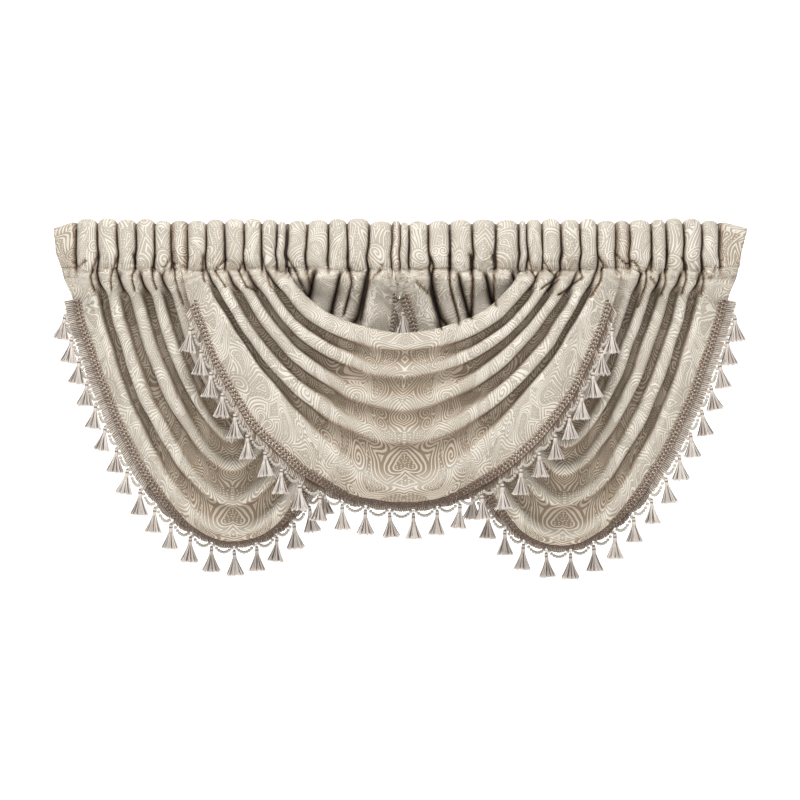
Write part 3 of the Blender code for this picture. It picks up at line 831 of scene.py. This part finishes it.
def headingUv(grid):
    middle = grid[6]
    u = np.concatenate([[0], np.cumsum(np.linalg.norm(np.diff(middle, axis=0), axis=1))])
    down = np.linalg.norm(np.diff(grid, axis=0), axis=2).mean(axis=1)
    v = np.concatenate([[0], np.cumsum(down)])
    return np.stack(np.broadcast_arrays(u[None, :] + 37, v[:, None] + 23), axis=2) * mm


grid, paintedShades = headingGrid()
piece = gridMesh("heading_cloth", grid, headingUv(grid), paintedShades, jacquard, heading["wall"], closed=True)
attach(piece, "root")
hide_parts("heading")
print("heading pleated")


# Paths along the hems, in millimetres

# The columns of a swag that its trims cover
def trimmed(side):
    reach = swagCloth[side]["reach"]
    low, high = swags[side]["braid"]
    return np.nonzero((reach > low - 1e-6) & (reach < high + 1e-6))[0]


# Each point of a path has the way out of the cloth at the hem and the way its face looks
def hemPath(side, up, lift):
    grid, normals = swagCloth[side]["grid"], swagCloth[side]["normals"]
    band = slice(-1, -cloth["rowsPerFold"] - 2, -1)
    points, ways, faces = [], [], []
    for column in trimmed(side):
        line, normal = grid[band, column], normals[band, column]
        length = np.concatenate([[0], np.cumsum(np.linalg.norm(np.diff(line, axis=0), axis=1))])
        at, inner = (np.array([np.interp(d, length, line[:, k]) for k in range(3)])
                     for d in (max(up, 0), cloth["wayLength"]))
        face = unit(np.array([np.interp(max(up, 0), length, normal[:, k]) for k in range(3)]))
        way = unit(line[0] - inner)
        points.append(at + face * lift + way * max(-up, 0))
        ways.append(way)
        faces.append(face)
    return np.array(points), np.array(ways), np.array(faces)


# Evenly spaced places along a path, as points and the two ways there
def spacedAlong(path, places):
    points, ways, faces = path
    length = np.concatenate([[0], np.cumsum(np.linalg.norm(np.diff(points, axis=0), axis=1))])
    at = np.asarray(places) * length[-1]
    read = [np.stack([np.interp(at, length, v[:, k]) for k in range(3)], axis=1)
            for v in (points, ways, faces)]
    return read[0], unit(read[1]), unit(read[2])


# A guide for a Geometry Nodes tree: rows of points with the values of each row's attributes
def guideObject(name, rows, linked=True, **attributes):
    edges, start = [], 0
    for row in rows:
        if linked:
            edges += [(i, i + 1) for i in range(start, start + len(row) - 1)]
        start += len(row)
    guide = meshObject(name, np.concatenate(rows), [], edges)
    for key, values in attributes.items():
        values = np.concatenate(values).astype(np.float32)
        vector = values.ndim == 2
        layer = guide.data.attributes.new(key, "FLOAT_VECTOR" if vector else "FLOAT", "POINT")
        layer.data.foreach_set("vector" if vector else "value", values.ravel())
    return guide


# Geometry Nodes

def newTree(name, **inputs):
    tree = bpy.data.node_groups.new(name, "GeometryNodeTree")
    tree.interface.new_socket("Guide", in_out="INPUT", socket_type="NodeSocketGeometry")
    for key, kind in inputs.items():
        tree.interface.new_socket(key, in_out="INPUT", socket_type="NodeSocket" + kind)
    tree.interface.new_socket("Material", in_out="INPUT", socket_type="NodeSocketMaterial")
    tree.interface.new_socket("Result", in_out="OUTPUT", socket_type="NodeSocketGeometry")
    return tree, tree.nodes.new("NodeGroupInput").outputs


def endTree(tree, given, geometry):
    real = addNode(tree, "GeometryNodeRealizeInstances", None, {"Geometry": geometry})
    round_ = addNode(tree, "GeometryNodeSetShadeSmooth", None, {"Geometry": real})
    made = addNode(tree, "GeometryNodeSetMaterial", None, {
        "Geometry": round_, "Material": given["Material"]})
    out = tree.nodes.new("NodeGroupOutput")
    tree.links.new(made.outputs[0], out.inputs[0])


# Runs a tree on its guide and keeps the result as a plain mesh
def grow(name, guide, tree, **values):
    modifier = guide.modifiers.new("grow", "NODES")
    modifier.node_group = tree
    identifiers = {item.name: item.identifier for item in tree.interface.items_tree
                   if item.in_out == "INPUT"}
    for key, value in values.items():
        modifier[identifiers[key]] = value
    bpy.context.view_layer.update()
    shown = guide.evaluated_get(bpy.context.evaluated_depsgraph_get())
    mesh = bpy.data.meshes.new_from_object(shown)
    mesh.name = name
    guide.modifiers.clear()
    bpy.data.objects.remove(guide)
    made = bpy.data.objects.new(name, mesh)
    scene.collection.objects.link(made)
    return made


# One object out of several; the first one's name stays
def joined(pieces):
    bpy.ops.object.select_all(action="DESELECT")
    for piece in pieces:
        piece.select_set(True)
    bpy.context.view_layer.objects.active = pieces[0]
    bpy.ops.object.join()
    return pieces[0]


# The guide's own vectors, by name
def addReadings(tree, *names):
    return [addNode(tree, "GeometryNodeInputNamedAttribute", {"data_type": "FLOAT_VECTOR"}, {"Name": name})
            for name in names]


# A rotation turned further about its own axes
def addSwing(tree, upright, swing):
    turn = addNode(tree, "FunctionNodeEulerToRotation", None, {"Euler": swing})
    return addNode(tree, "FunctionNodeRotateRotation", {"rotation_space": "LOCAL"}, {
        "Rotation": upright, "Rotate By": turn})


# Sizes that differ at random, by the tree's unevenness
def addUnevenSize(tree, given, size, most):
    least = addNode(tree, "ShaderNodeMath", "SUBTRACT", {0: 1.0, 1: given["Uneven"]})
    growth = addNode(tree, "FunctionNodeRandomValue", None, {
        "Min": least, "Max": most, "Seed": given["Seed"]})
    return addNode(tree, "ShaderNodeVectorMath", "SCALE", {0: size, "Scale": growth})


# Stitches of yarn along rows: every other one takes the row's second tone
def stitchTree():
    tree, given = newTree("stitches", Seed="Int", Uneven="Float")
    rows = addNode(tree, "GeometryNodeMeshToCurve", None, {"Mesh": given["Guide"]})
    count = addNode(tree, "GeometryNodeInputNamedAttribute", None, {"Name": "stitches"})
    points = addNode(tree, "GeometryNodeResampleCurve", {"mode": "COUNT"}, {"Curve": rows, "Count": count})
    facing, size, look = addReadings(tree, "facing", "size", "look")
    look = addNode(tree, "ShaderNodeSeparateXYZ", None, {0: look}).outputs
    index = addNode(tree, "GeometryNodeSplineParameter").outputs["Index"]
    odd = addNode(tree, "ShaderNodeMath", "MODULO", {0: index, 1: 2.0})
    chance = addNode(tree, "FunctionNodeRandomValue", None, {
        "Min": -0.12, "Max": 0.12, "Seed": given["Seed"]})
    tone = addNode(tree, "ShaderNodeMix", None, {"Factor": odd, "A": look["X"], "B": look["Y"]})
    tone = addNode(tree, "ShaderNodeMath", "ADD", {0: tone, 1: chance})
    toned = addNode(tree, "GeometryNodeStoreNamedAttribute", None, {
        "Geometry": points, "Name": "tone", "Value": tone})
    tangent = addNode(tree, "GeometryNodeInputTangent")
    upright = addNode(tree, "FunctionNodeAxesToRotation", {"primary_axis": "Z", "secondary_axis": "X"}, {
        "Primary Axis": facing, "Secondary Axis": tangent})
    turned = addSwing(tree, upright, addNode(tree, "ShaderNodeCombineXYZ", None, {2: look["Z"]}))
    most = addNode(tree, "ShaderNodeMath", "ADD", {0: 1.0, 1: given["Uneven"]})
    size = addUnevenSize(tree, given, size, most)
    stitch = addNode(tree, "GeometryNodeMeshUVSphere", None, {"Segments": 6, "Rings": 3, "Radius": 0.5})
    placed = addNode(tree, "GeometryNodeInstanceOnPoints", None, {
        "Points": toned, "Instance": stitch, "Rotation": turned, "Scale": size})
    endTree(tree, given, placed)
    return tree


# Copies of a model on the guide's points: its own -Z hangs along "hang" and its -Y looks
# along "facing"
def hangTree():
    tree, given = newTree("hang", Model="Object", Seed="Int", Uneven="Float", Swing="Float", Spin="Float")
    hang, facing, size = addReadings(tree, "hang", "facing", "size")
    upward, toBack = (addNode(tree, "ShaderNodeVectorMath", "SCALE", {0: way, "Scale": -1.0})
                      for way in (hang, facing))
    upright = addNode(tree, "FunctionNodeAxesToRotation", {"primary_axis": "Z", "secondary_axis": "Y"}, {
        "Primary Axis": upward, "Secondary Axis": toBack})
    least = addNode(tree, "ShaderNodeMath", "MULTIPLY", {0: given["Swing"], 1: -1.0})
    swings = [addNode(tree, "FunctionNodeRandomValue", None, {
        "Min": least, "Max": given["Swing"], "Seed": given["Seed"], "ID": addNode(
            tree, "ShaderNodeMath", "ADD", {0: addNode(tree, "GeometryNodeInputIndex"), 1: 1000.0 * i})})
        for i in range(3)]
    spin = addNode(tree, "ShaderNodeMath", "DIVIDE", {0: swings[2], 1: given["Swing"]})
    spin = addNode(tree, "ShaderNodeMath", "MULTIPLY", {0: spin, 1: given["Spin"]})
    swing = addNode(tree, "ShaderNodeCombineXYZ", None, {0: swings[0], 1: swings[1], 2: spin})
    turned = addSwing(tree, upright, swing)
    size = addUnevenSize(tree, given, size, 1.0)
    model = addNode(tree, "GeometryNodeObjectInfo", None, {"Object": given["Model"]})
    placed = addNode(tree, "GeometryNodeInstanceOnPoints", None, {
        "Points": given["Guide"], "Instance": model.outputs["Geometry"], "Rotation": turned,
        "Scale": size})
    endTree(tree, given, placed)
    return tree


# Beads on chains that sag between the guide's points
def beadTree():
    tree, given = newTree("beads", Beads="Int", Sag="Float", Long="Float", Wide="Float")
    chain = addNode(tree, "GeometryNodeMeshToCurve", None, {"Mesh": given["Guide"]})
    cuts = addNode(tree, "ShaderNodeMath", "SUBTRACT", {0: given["Beads"], 1: 1.0})
    points = addNode(tree, "GeometryNodeSubdivideCurve", None, {"Curve": chain, "Cuts": cuts})
    index = addNode(tree, "GeometryNodeSplineParameter").outputs["Index"]
    step = addNode(tree, "ShaderNodeMath", "MODULO", {0: index, 1: given["Beads"]})
    share = addNode(tree, "ShaderNodeMath", "DIVIDE", {0: step, 1: given["Beads"]})
    rest = addNode(tree, "ShaderNodeMath", "SUBTRACT", {0: 1.0, 1: share})
    sag = addNode(tree, "ShaderNodeMath", "MULTIPLY", {0: share, 1: rest})
    sag = addNode(tree, "ShaderNodeMath", "MULTIPLY", {0: sag, 1: given["Sag"]})
    fall = addNode(tree, "ShaderNodeMath", "MULTIPLY", {0: sag, 1: -4.0})
    offset = addNode(tree, "ShaderNodeCombineXYZ", None, {2: fall})
    hung = addNode(tree, "GeometryNodeSetPosition", None, {"Geometry": points, "Offset": offset})
    tangent = addNode(tree, "GeometryNodeInputTangent")
    along = addNode(tree, "FunctionNodeAxesToRotation", {"primary_axis": "X", "secondary_axis": "Y"}, {
        "Primary Axis": tangent, "Secondary Axis": (0.0, 1.0, 0.0)})
    between = addNode(tree, "ShaderNodeMath", "GREATER_THAN", {0: step, 1: 0.5})
    bead = addNode(tree, "GeometryNodeMeshUVSphere", None, {"Segments": 7, "Rings": 5, "Radius": 0.5})
    size = addNode(tree, "ShaderNodeCombineXYZ", None, {
        0: given["Long"], 1: given["Wide"], 2: given["Wide"]})
    placed = addNode(tree, "GeometryNodeInstanceOnPoints", None, {
        "Points": hung, "Selection": between, "Instance": bead, "Rotation": along, "Scale": size})
    endTree(tree, given, placed)
    return tree


goldenAngle = 2.39996  # radians, spreads the strands evenly round the neck


# A tassel's skirt: strands that leave the neck and flare out, of uneven length
def skirtTree():
    tree, given = newTree("skirt", Strands="Int", Neck="Float", Flare="Float", Length="Float",
                          Yarn="Float", Seed="Int")
    length = addNode(tree, "ShaderNodeMath", "MULTIPLY", {0: given["Length"], 1: -1.0})
    halfway = addNode(tree, "ShaderNodeMath", "MULTIPLY", {0: length, 1: 0.42})
    out = addNode(tree, "ShaderNodeMath", "MULTIPLY_ADD", {0: given["Flare"], 1: 0.26, 2: given["Neck"]})
    strand = addNode(tree, "GeometryNodeCurveQuadraticBezier", None, {
        "Resolution": 4,
        "Start": addNode(tree, "ShaderNodeCombineXYZ", None, {0: given["Neck"]}),
        "Middle": addNode(tree, "ShaderNodeCombineXYZ", None, {0: out, 2: halfway}),
        "End": addNode(tree, "ShaderNodeCombineXYZ", None, {0: given["Flare"], 2: length})})
    section = addNode(tree, "GeometryNodeCurvePrimitiveCircle", None, {
        "Resolution": 3, "Radius": given["Yarn"]})
    yarn = addNode(tree, "GeometryNodeCurveToMesh", None, {
        "Curve": strand, "Profile Curve": section, "Fill Caps": True})
    points = addNode(tree, "GeometryNodePoints", None, {"Count": given["Strands"]})
    index = addNode(tree, "GeometryNodeInputIndex")
    tones = addNode(tree, "FunctionNodeRandomValue", None, {"Seed": given["Seed"]})
    tone = addNode(tree, "ShaderNodeMapRange", None, {
        "Value": tones.outputs[1], "To Min": 0.02, "To Max": 1.0})
    toned = addNode(tree, "GeometryNodeStoreNamedAttribute", None, {
        "Geometry": points, "Name": "tone", "Value": tone})
    turn = addNode(tree, "ShaderNodeMath", "MULTIPLY", {0: index, 1: goldenAngle})
    turn = addNode(tree, "ShaderNodeCombineXYZ", None, {2: turn})
    most = addNode(tree, "ShaderNodeMath", "SUBTRACT", {0: given["Strands"], 1: 1.0})
    share = addNode(tree, "ShaderNodeMath", "DIVIDE", {0: index, 1: most})
    share = addNode(tree, "ShaderNodeMath", "POWER", {0: share, 1: 0.42})
    spread = addNode(tree, "ShaderNodeMapRange", None, {"Value": share, "To Min": 0.15})
    ragged = addNode(tree, "FunctionNodeRandomValue", None, {
        "Min": 0.91, "Max": 1.05, "Seed": given["Seed"]})
    size = addNode(tree, "ShaderNodeCombineXYZ", None, {0: spread, 1: 1.0, 2: ragged})
    placed = addNode(tree, "GeometryNodeInstanceOnPoints", None, {
        "Points": toned, "Instance": yarn, "Scale": size,
        "Rotation": addNode(tree, "FunctionNodeEulerToRotation", None, {"Euler": turn})})
    endTree(tree, given, placed)
    return tree


# Yarns and beads

# Spun yarn, dyed and doubled: a dull thread whose tone runs from brown to cream; on the braid
# and the loops of the fringe that tone also carries painted shade
def makeYarn(name, tones, roughness):
    material, tree, shader = newMaterial(name)
    tone = addNode(tree, "ShaderNodeAttribute", {"attribute_name": "tone"})
    place = addNode(tree, "ShaderNodeTexCoord")
    slub = addNode(tree, "ShaderNodeTexNoise", None, {
        "Vector": place.outputs["Object"], "Scale": 420.0, "Detail": 2.0})
    uneven = addNode(tree, "ShaderNodeMath", "MULTIPLY_ADD", {
        0: slub.outputs["Fac"], 1: 0.16, 2: tone.outputs["Fac"]})
    shifted = addNode(tree, "ShaderNodeMath", "SUBTRACT", {0: uneven, 1: 0.08})
    ramp = addNode(tree, "ShaderNodeValToRGB", None, {"Fac": shifted})
    setStops(ramp, tones)
    tree.links.new(ramp.outputs["Color"], shader.inputs["Base Color"])
    shader.inputs["Roughness"].default_value = roughness
    shader.inputs["Sheen Weight"].default_value = 0.15
    ply = addNode(tree, "ShaderNodeBump", None, {
        "Strength": 0.35, "Distance": 0.0004, "Height": slub.outputs["Fac"]})
    tree.links.new(ply.outputs[0], shader.inputs["Normal"])
    return material


braidYarn = makeYarn("mercerised braid yarn", [
    (0, "#533f31"), (1, "#ece3d7"), (0.3, "#816c5b"), (0.62, "#c2b19f")], 0.6)
tasselYarn = makeYarn("viscose tassel yarn", [
    (0, "#54423a"), (1, "#fbf5ee"), (0.14, "#88756a"), (0.28, "#cdc1b7"), (0.52, "#eee5dc")], 0.4)


# Moulded acrylic: milky warm grey beads that glint
def makeBeadMaterial():
    material, tree, shader = newMaterial("moulded acrylic beads")
    shader.inputs["Base Color"].default_value = linear("#cdc6bb")
    place = addNode(tree, "ShaderNodeTexCoord")
    haze = addNode(tree, "ShaderNodeTexNoise", None, {"Vector": place.outputs["Object"], "Scale": 300.0})
    rough = addNode(tree, "ShaderNodeMapRange", None, {
        "Value": haze.outputs["Fac"], "To Min": 0.1, "To Max": 0.25})
    tree.links.new(rough.outputs[0], shader.inputs["Roughness"])
    shader.inputs["IOR"].default_value = 1.49
    shader.inputs["Transmission Weight"].default_value = 0.12
    return material


beadAcrylic = makeBeadMaterial()


# Braid, looped fringe, tassels and bead chains of each hem

trim = {
    "tape": 1.0,
    "tapeTone": 0.34,
    "tapeShade": 0.9,
    "stitchShade": 0.72,
    "braidWidth": 19.5,
    "hemGap": 1.2,
    "loopAtTassel": 8,
    "loopBetween": 16,
    "fall": 0.25,
    "backShare": 0.2,
    "loopPitch": 3.4,
    "loopWidth": 2.4,
    "loopYarn": 1.1,
    "lowYarn": 1.1,
    "loopLength": 10,
    "lowShare": 0.75,
    "tassels": {"left": 25, "right": 25, "centre": 26},
    "apexPlace": 0.996,
    "tasselDrop": 10,
    "dropSteep": 6,
    "forward": 3,
    "forwardSteep": 7,
    "lean": 0.16,
    "beads": 9,
    "beadLong": 6.8,
    "beadWide": 6.2,
    "chainSag": 17,
}
# Rows of the braid: distance up from the hem, size along, across and out, two tones, how
# far the stitches slant, and their pitch
braidRows = [
    (18.0, (2.0, 4.4, 2.2), (0.95, 0.5), 0.3, 3.2),
    (14.2, (3.4, 3.4, 2.8), (0.03, 0.66), 0, 3.7),
    (10.8, (3.0, 3.2, 3.0), (1, 0.45), 0, 3.7),
    (7.4, (3.4, 3.4, 2.8), (0.66, 0.03), 0, 3.7),
    (3.2, (2.0, 5.2, 2.2), (0.9, 0.4), -0.3, 3.2),
]


# A round tube along a path, with a radius and a tone at each point
def tubeModel(name, path, radii, tones, sides=5):
    path = np.array(path, float)
    along = unit(np.gradient(path, axis=0))
    side = unit(np.cross(along, (0.02, 1, 0.03)))
    across = np.cross(side, along)
    points, faces = [], []
    for centre, a, b, radius in zip(path, side, across, radii):
        for k in range(sides):
            turn = math.tau * k / sides
            points.append(centre + radius * (a * math.cos(turn) + b * math.sin(turn)))
    for i in range(len(path) - 1):
        for k in range(sides):
            low, high = i * sides, (i + 1) * sides
            faces.append((low + k, low + (k + 1) % sides, high + (k + 1) % sides, high + k))
    faces.append(tuple(range(sides))[::-1])
    faces.append(tuple(range((len(path) - 1) * sides, len(path) * sides)))
    model = meshObject(name, points, faces)
    tone = model.data.attributes.new("tone", "FLOAT", "POINT")
    tone.data.foreach_set("value", np.repeat(tones, sides).astype(np.float32))
    return model


# One loop of the fringe: down as a darker ply, partly painted shade between the loops, and
# back up as a paler one
def loopModel(yarn, tones):
    half, long = trim["loopWidth"] / 2, trim["loopLength"]
    down = [(-half, 0, 1), (-half, 0, -0.5 * long), (-half, 0, -0.84 * long), (-0.6 * half, 0, -0.97 * long)]
    path = down + [(-x, y, z) for x, y, z in reversed(down)]
    return tubeModel("loop", path, [yarn] * len(path), tones)


tassel = {
    "skirtTop": -15.5,
    "length": 36,
    "neck": 1.8,
    "flare": 16.5,
    "yarn": 0.98,
    "strands": 74,
}
# The head from the hanger down: depth, radius and tone, with two dark bindings
headProfile = [
    (-3.4, 0.9, 0.5), (-4.2, 2.4, 0.1), (-5.4, 3.3, 0.06), (-6.4, 3.1, 0.3), (-7.4, 3.7, 0.45),
    (-9.0, 3.9, 0.42), (-10.0, 3.4, 0.25), (-10.8, 3.7, 0.08), (-11.9, 3.7, 0.08), (-12.7, 3.4, 0.3),
    (-14.4, 3.7, 0.45), (-20, 4.0, 0.3), (-30, 5.9, 0.22), (-45, 9.4, 0.14),
]


def tasselModel():
    depths, radii, tones = zip(*headProfile)
    head = tubeModel("tassel", [(0, 0, z) for z in depths], radii, tones, sides=10)
    hanger = [tubeModel("hanger", [(x, 0, 2), (x * 1.8, 0, -1.5), (x * 0.5, 0, -5)], [0.7] * 3,
                        [0.9] * 3, sides=4) for x in (-1, 1)]
    guide = meshObject("skirtGuide", [(0, 0, 0)], [])
    sizes = {key: tassel[key.lower()] * mm for key in ("Neck", "Flare", "Length", "Yarn")}
    skirt = grow("skirt", guide, skirtTree(), Strands=tassel["strands"], Seed=4, **sizes)
    skirt.data.transform(Matrix.Translation((0, 0, tassel["skirtTop"] * mm)))
    return joined([head, *hanger, skirt])


# How much the hem is turned under on each column that a trim covers
def underTrim(side):
    return turnedUnder(swagCloth[side]["reach"][trimmed(side)])


def makeTape(side):
    rows = [hemPath(side, up, cloth["thickness"] / 2 + 0.7)[0]
            for up in np.linspace(trim["braidWidth"], 0.4, 6)]
    grid = np.stack(rows)
    tape = gridMesh("tape", grid, clothUv(grid), np.ones(grid.shape[:2]), braidYarn, trim["tape"])
    tone = tape.data.attributes.new("tone", "FLOAT", "POINT")
    # The tape's tone, with painted shade where the hem turns under
    shade = np.tile(trim["tapeTone"] * (1 - trim["tapeShade"] * underTrim(side)), len(rows))
    tone.data.foreach_set("value", shade.astype(np.float32))
    shown = tape.evaluated_get(bpy.context.evaluated_depsgraph_get())
    mesh = bpy.data.meshes.new_from_object(shown)
    tape.modifiers.clear()
    tape.data = mesh
    return tape


def makeBraid(side, tree):
    tape = makeTape(side)
    # Painted shade on the stitches where the hem turns under
    shade = 1 - trim["stitchShade"] * underTrim(side)[:, None]
    rows, facings, sizes, looks, counts = [], [], [], [], []
    for up, size, tones, slant, pitch in braidRows:
        path = hemPath(side, up, cloth["thickness"] / 2 + 1.3)
        rows.append(path[0])
        facings.append(path[2])
        sizes.append(np.tile(np.array(size) * mm, (len(path[0]), 1)))
        looks.append(np.array([(*tones, slant)]) * (shade ** (1, 1, 0)))
        length = np.linalg.norm(np.diff(rows[0], axis=0), axis=1).sum()
        counts.append(np.full(len(path[0]), round(length / pitch)))
    guide = guideObject("braidGuide", rows, facing=facings, size=sizes, look=looks, stitches=counts)
    stitches = grow(f"braid_trim_{side}", guide, tree, Seed=3, Uneven=0.12, Material=braidYarn)
    return joined([stitches, tape])


# Where the fringe's loops and tassels hang: along the hem as far as the braid goes, with
# the first tassel's place and the pitch from one to the next
def fringePlaces(side):
    path = hemPath(side, -trim["hemGap"], 0)
    length = np.concatenate([[0], np.cumsum(np.linalg.norm(np.diff(path[0], axis=0), axis=1))])
    reach = swagCloth[side]["reach"][trimmed(side)]
    first, last = np.interp((-fringeReach, fringeReach), reach, length)
    return path, length[-1], first, (last - first) / trim["tassels"][side]


def fallOf(ways):
    return unit(ways * (1, trim["backShare"], 1) + (0, 0, -trim["fall"]))


def makeLoops(side, tree):
    path, length, first, pitch = fringePlaces(side)
    count = round(length / trim["loopPitch"])
    places = (np.arange(count) + 0.5) / count
    points, ways, faces = spacedAlong(path, places)
    across = np.abs(2 * (((places * length - first) / pitch) % 1) - 1)
    under = np.interp(places, np.linspace(0, 1, len(path[0])), underTrim(side))
    least = mix(trim["loopBetween"], trim["loopAtTassel"], under)
    drop = mix(least, trim["loopBetween"], 1 - (1 - across) ** 2) * mix(1, trim["lowShare"], under)
    ones = np.ones(count)
    size = np.stack([ones, ones, drop / trim["loopLength"]], axis=1)
    made = []
    for name, low in (("loop", under < 0.5), ("shadedLoop", under >= 0.5)):
        guide = guideObject("loopGuide", [points[low]], False, hang=[fallOf(ways)[low]],
                            facing=[faces[low]], size=[size[low]])
        made.append(grow(f"loop_fringe_{side}", guide, tree, Model=models[name], Seed=7, Uneven=0.12,
                         Swing=0.07, Spin=0.5, Material=braidYarn))
    return joined(made)


def tasselPoints(side):
    path, length, first, pitch = fringePlaces(side)
    places = (first + pitch * (np.arange(trim["tassels"][side]) + 0.5)) / length
    if side == "left":
        places = np.append(places, trim["apexPlace"])
    points, ways, faces = spacedAlong(path, places)
    steep = np.abs(ways[:, 0])
    points = points + fallOf(ways) * (trim["tasselDrop"] + trim["dropSteep"] * steep[:, None])
    points[:, 1] -= trim["forward"] + trim["forwardSteep"] * steep
    return points, ways, faces


def makeTassels(side, tree, model):
    points, ways, _ = tasselPoints(side)
    hang = unit(np.stack([ways[:, 0] * trim["lean"], -0.02 + 0 * ways[:, 0], -1 + 0 * ways[:, 0]], axis=1))
    facing = np.tile((0.0, -1.0, 0.0), (len(points), 1))
    guide = guideObject("tasselGuide", [points], False, hang=[hang], facing=[facing],
                        size=[np.ones_like(points)])
    return grow(f"tassels_{side}", guide, tree, Model=model, Seed=11 + len(side), Uneven=0.07, Swing=0.07,
                Spin=3.1, Material=tasselYarn)


def makeChains(side, tree):
    points, _, _ = tasselPoints(side)
    guide = guideObject("chainGuide", [points + (0, -1.5, 6)])
    return grow(f"bead_chain_{side}", guide, tree, Beads=trim["beads"], Sag=trim["chainSag"] * mm,
                Long=trim["beadLong"] * mm, Wide=trim["beadWide"] * mm, Material=beadAcrylic)


trees = {"stitch": stitchTree(), "hang": hangTree(), "bead": beadTree()}
models = {
    # The lower loops are a copy in darker tones: painted shade under the turned hem
    "loop": loopModel(trim["loopYarn"], [0.3, 0.3, 0.4, 0.6, 0.9, 1, 0.9, 0.6]),
    "shadedLoop": loopModel(trim["lowYarn"], [0.05, 0.2, 0.3, 0.4, 0.5, 0.55, 0.4, 0.1]),
    "tassel": tasselModel(),
}
for side in swags:
    braid = makeBraid(side, trees["stitch"])
    loops = makeLoops(side, trees["hang"])
    tassels = makeTassels(side, trees["hang"], models["tassel"])
    chains = makeChains(side, trees["bead"])
    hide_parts(f"braid_{side}")
    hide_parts(f"fringe_{side}")
    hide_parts(f"fringe_{side}")
    for piece in (braid, loops, tassels, chains):
        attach(piece, "root")
    print("trimmed the hem on the", side)
for model in models.values():
    bpy.data.objects.remove(model)


# Studio: a white sweep behind and below, a large soft light above and a weak one in front

studio = {
    "floor": -1250,
    "wall": 4900,
    "halfWidth": 9000,
    "near": -5200,
    "high": 6500,
    "bend": 700,
    "sky": 0.16,
    "glow": 0.95,
}
# Place, target and size in metres, power in watts
softboxes = {
    "key above": ((-0.2, -1.25, 2.1), (0, 0, -0.3), (2.2, 0.8), 70),
    "front fill": ((0, -4.6, 0.4), (0, 0, -0.3), (3.0, 2.0), 31),
}
world = bpy.data.worlds.new("studio")
world.use_nodes = True
world.node_tree.nodes["Background"].inputs["Color"].default_value = (1, 1, 1, 1)
world.node_tree.nodes["Background"].inputs["Strength"].default_value = studio["sky"]
scene.world = world
scene.view_settings.view_transform = "Standard"


def addSweep():
    profile = [(studio["near"], studio["floor"])]
    for i in range(13):
        turn = math.radians(90 * i / 12)
        profile.append((studio["wall"] - studio["bend"] + studio["bend"] * math.sin(turn),
                        studio["floor"] + studio["bend"] * (1 - math.cos(turn))))
    profile.append((studio["wall"], studio["high"]))
    points = [(x * mm, y * mm, z * mm) for y, z in profile
              for x in (-studio["halfWidth"], studio["halfWidth"])]
    faces = [(2 * i, 2 * i + 1, 2 * i + 3, 2 * i + 2) for i in range(len(profile) - 1)]
    mesh = bpy.data.meshes.new("sweep")
    mesh.from_pydata(points, [], faces)
    mesh.shade_smooth()
    material, _, shader = newMaterial("white studio paper")
    shader.inputs["Base Color"].default_value = linear("#c4c2bf")
    shader.inputs["Roughness"].default_value = 0.9
    shader.inputs["Emission Color"].default_value = (1, 1, 1, 1)
    shader.inputs["Emission Strength"].default_value = studio["glow"]
    mesh.materials.append(material)
    backdrop = bpy.data.objects.new("sweep", mesh)
    scene.collection.objects.link(backdrop)


def addSoftbox(name, place, target, size, power):
    light = bpy.data.lights.new(name, "AREA")
    light.shape = "RECTANGLE"
    light.size, light.size_y = size
    light.energy = power
    lamp = bpy.data.objects.new(name, light)
    lamp.location = place
    direction = Vector(target) - Vector(place)
    lamp.rotation_euler = direction.to_track_quat("-Z", "Y").to_euler()
    scene.collection.objects.link(lamp)


addSweep()
for name, values in softboxes.items():
    addSoftbox(name, *values)
print("studio lit")
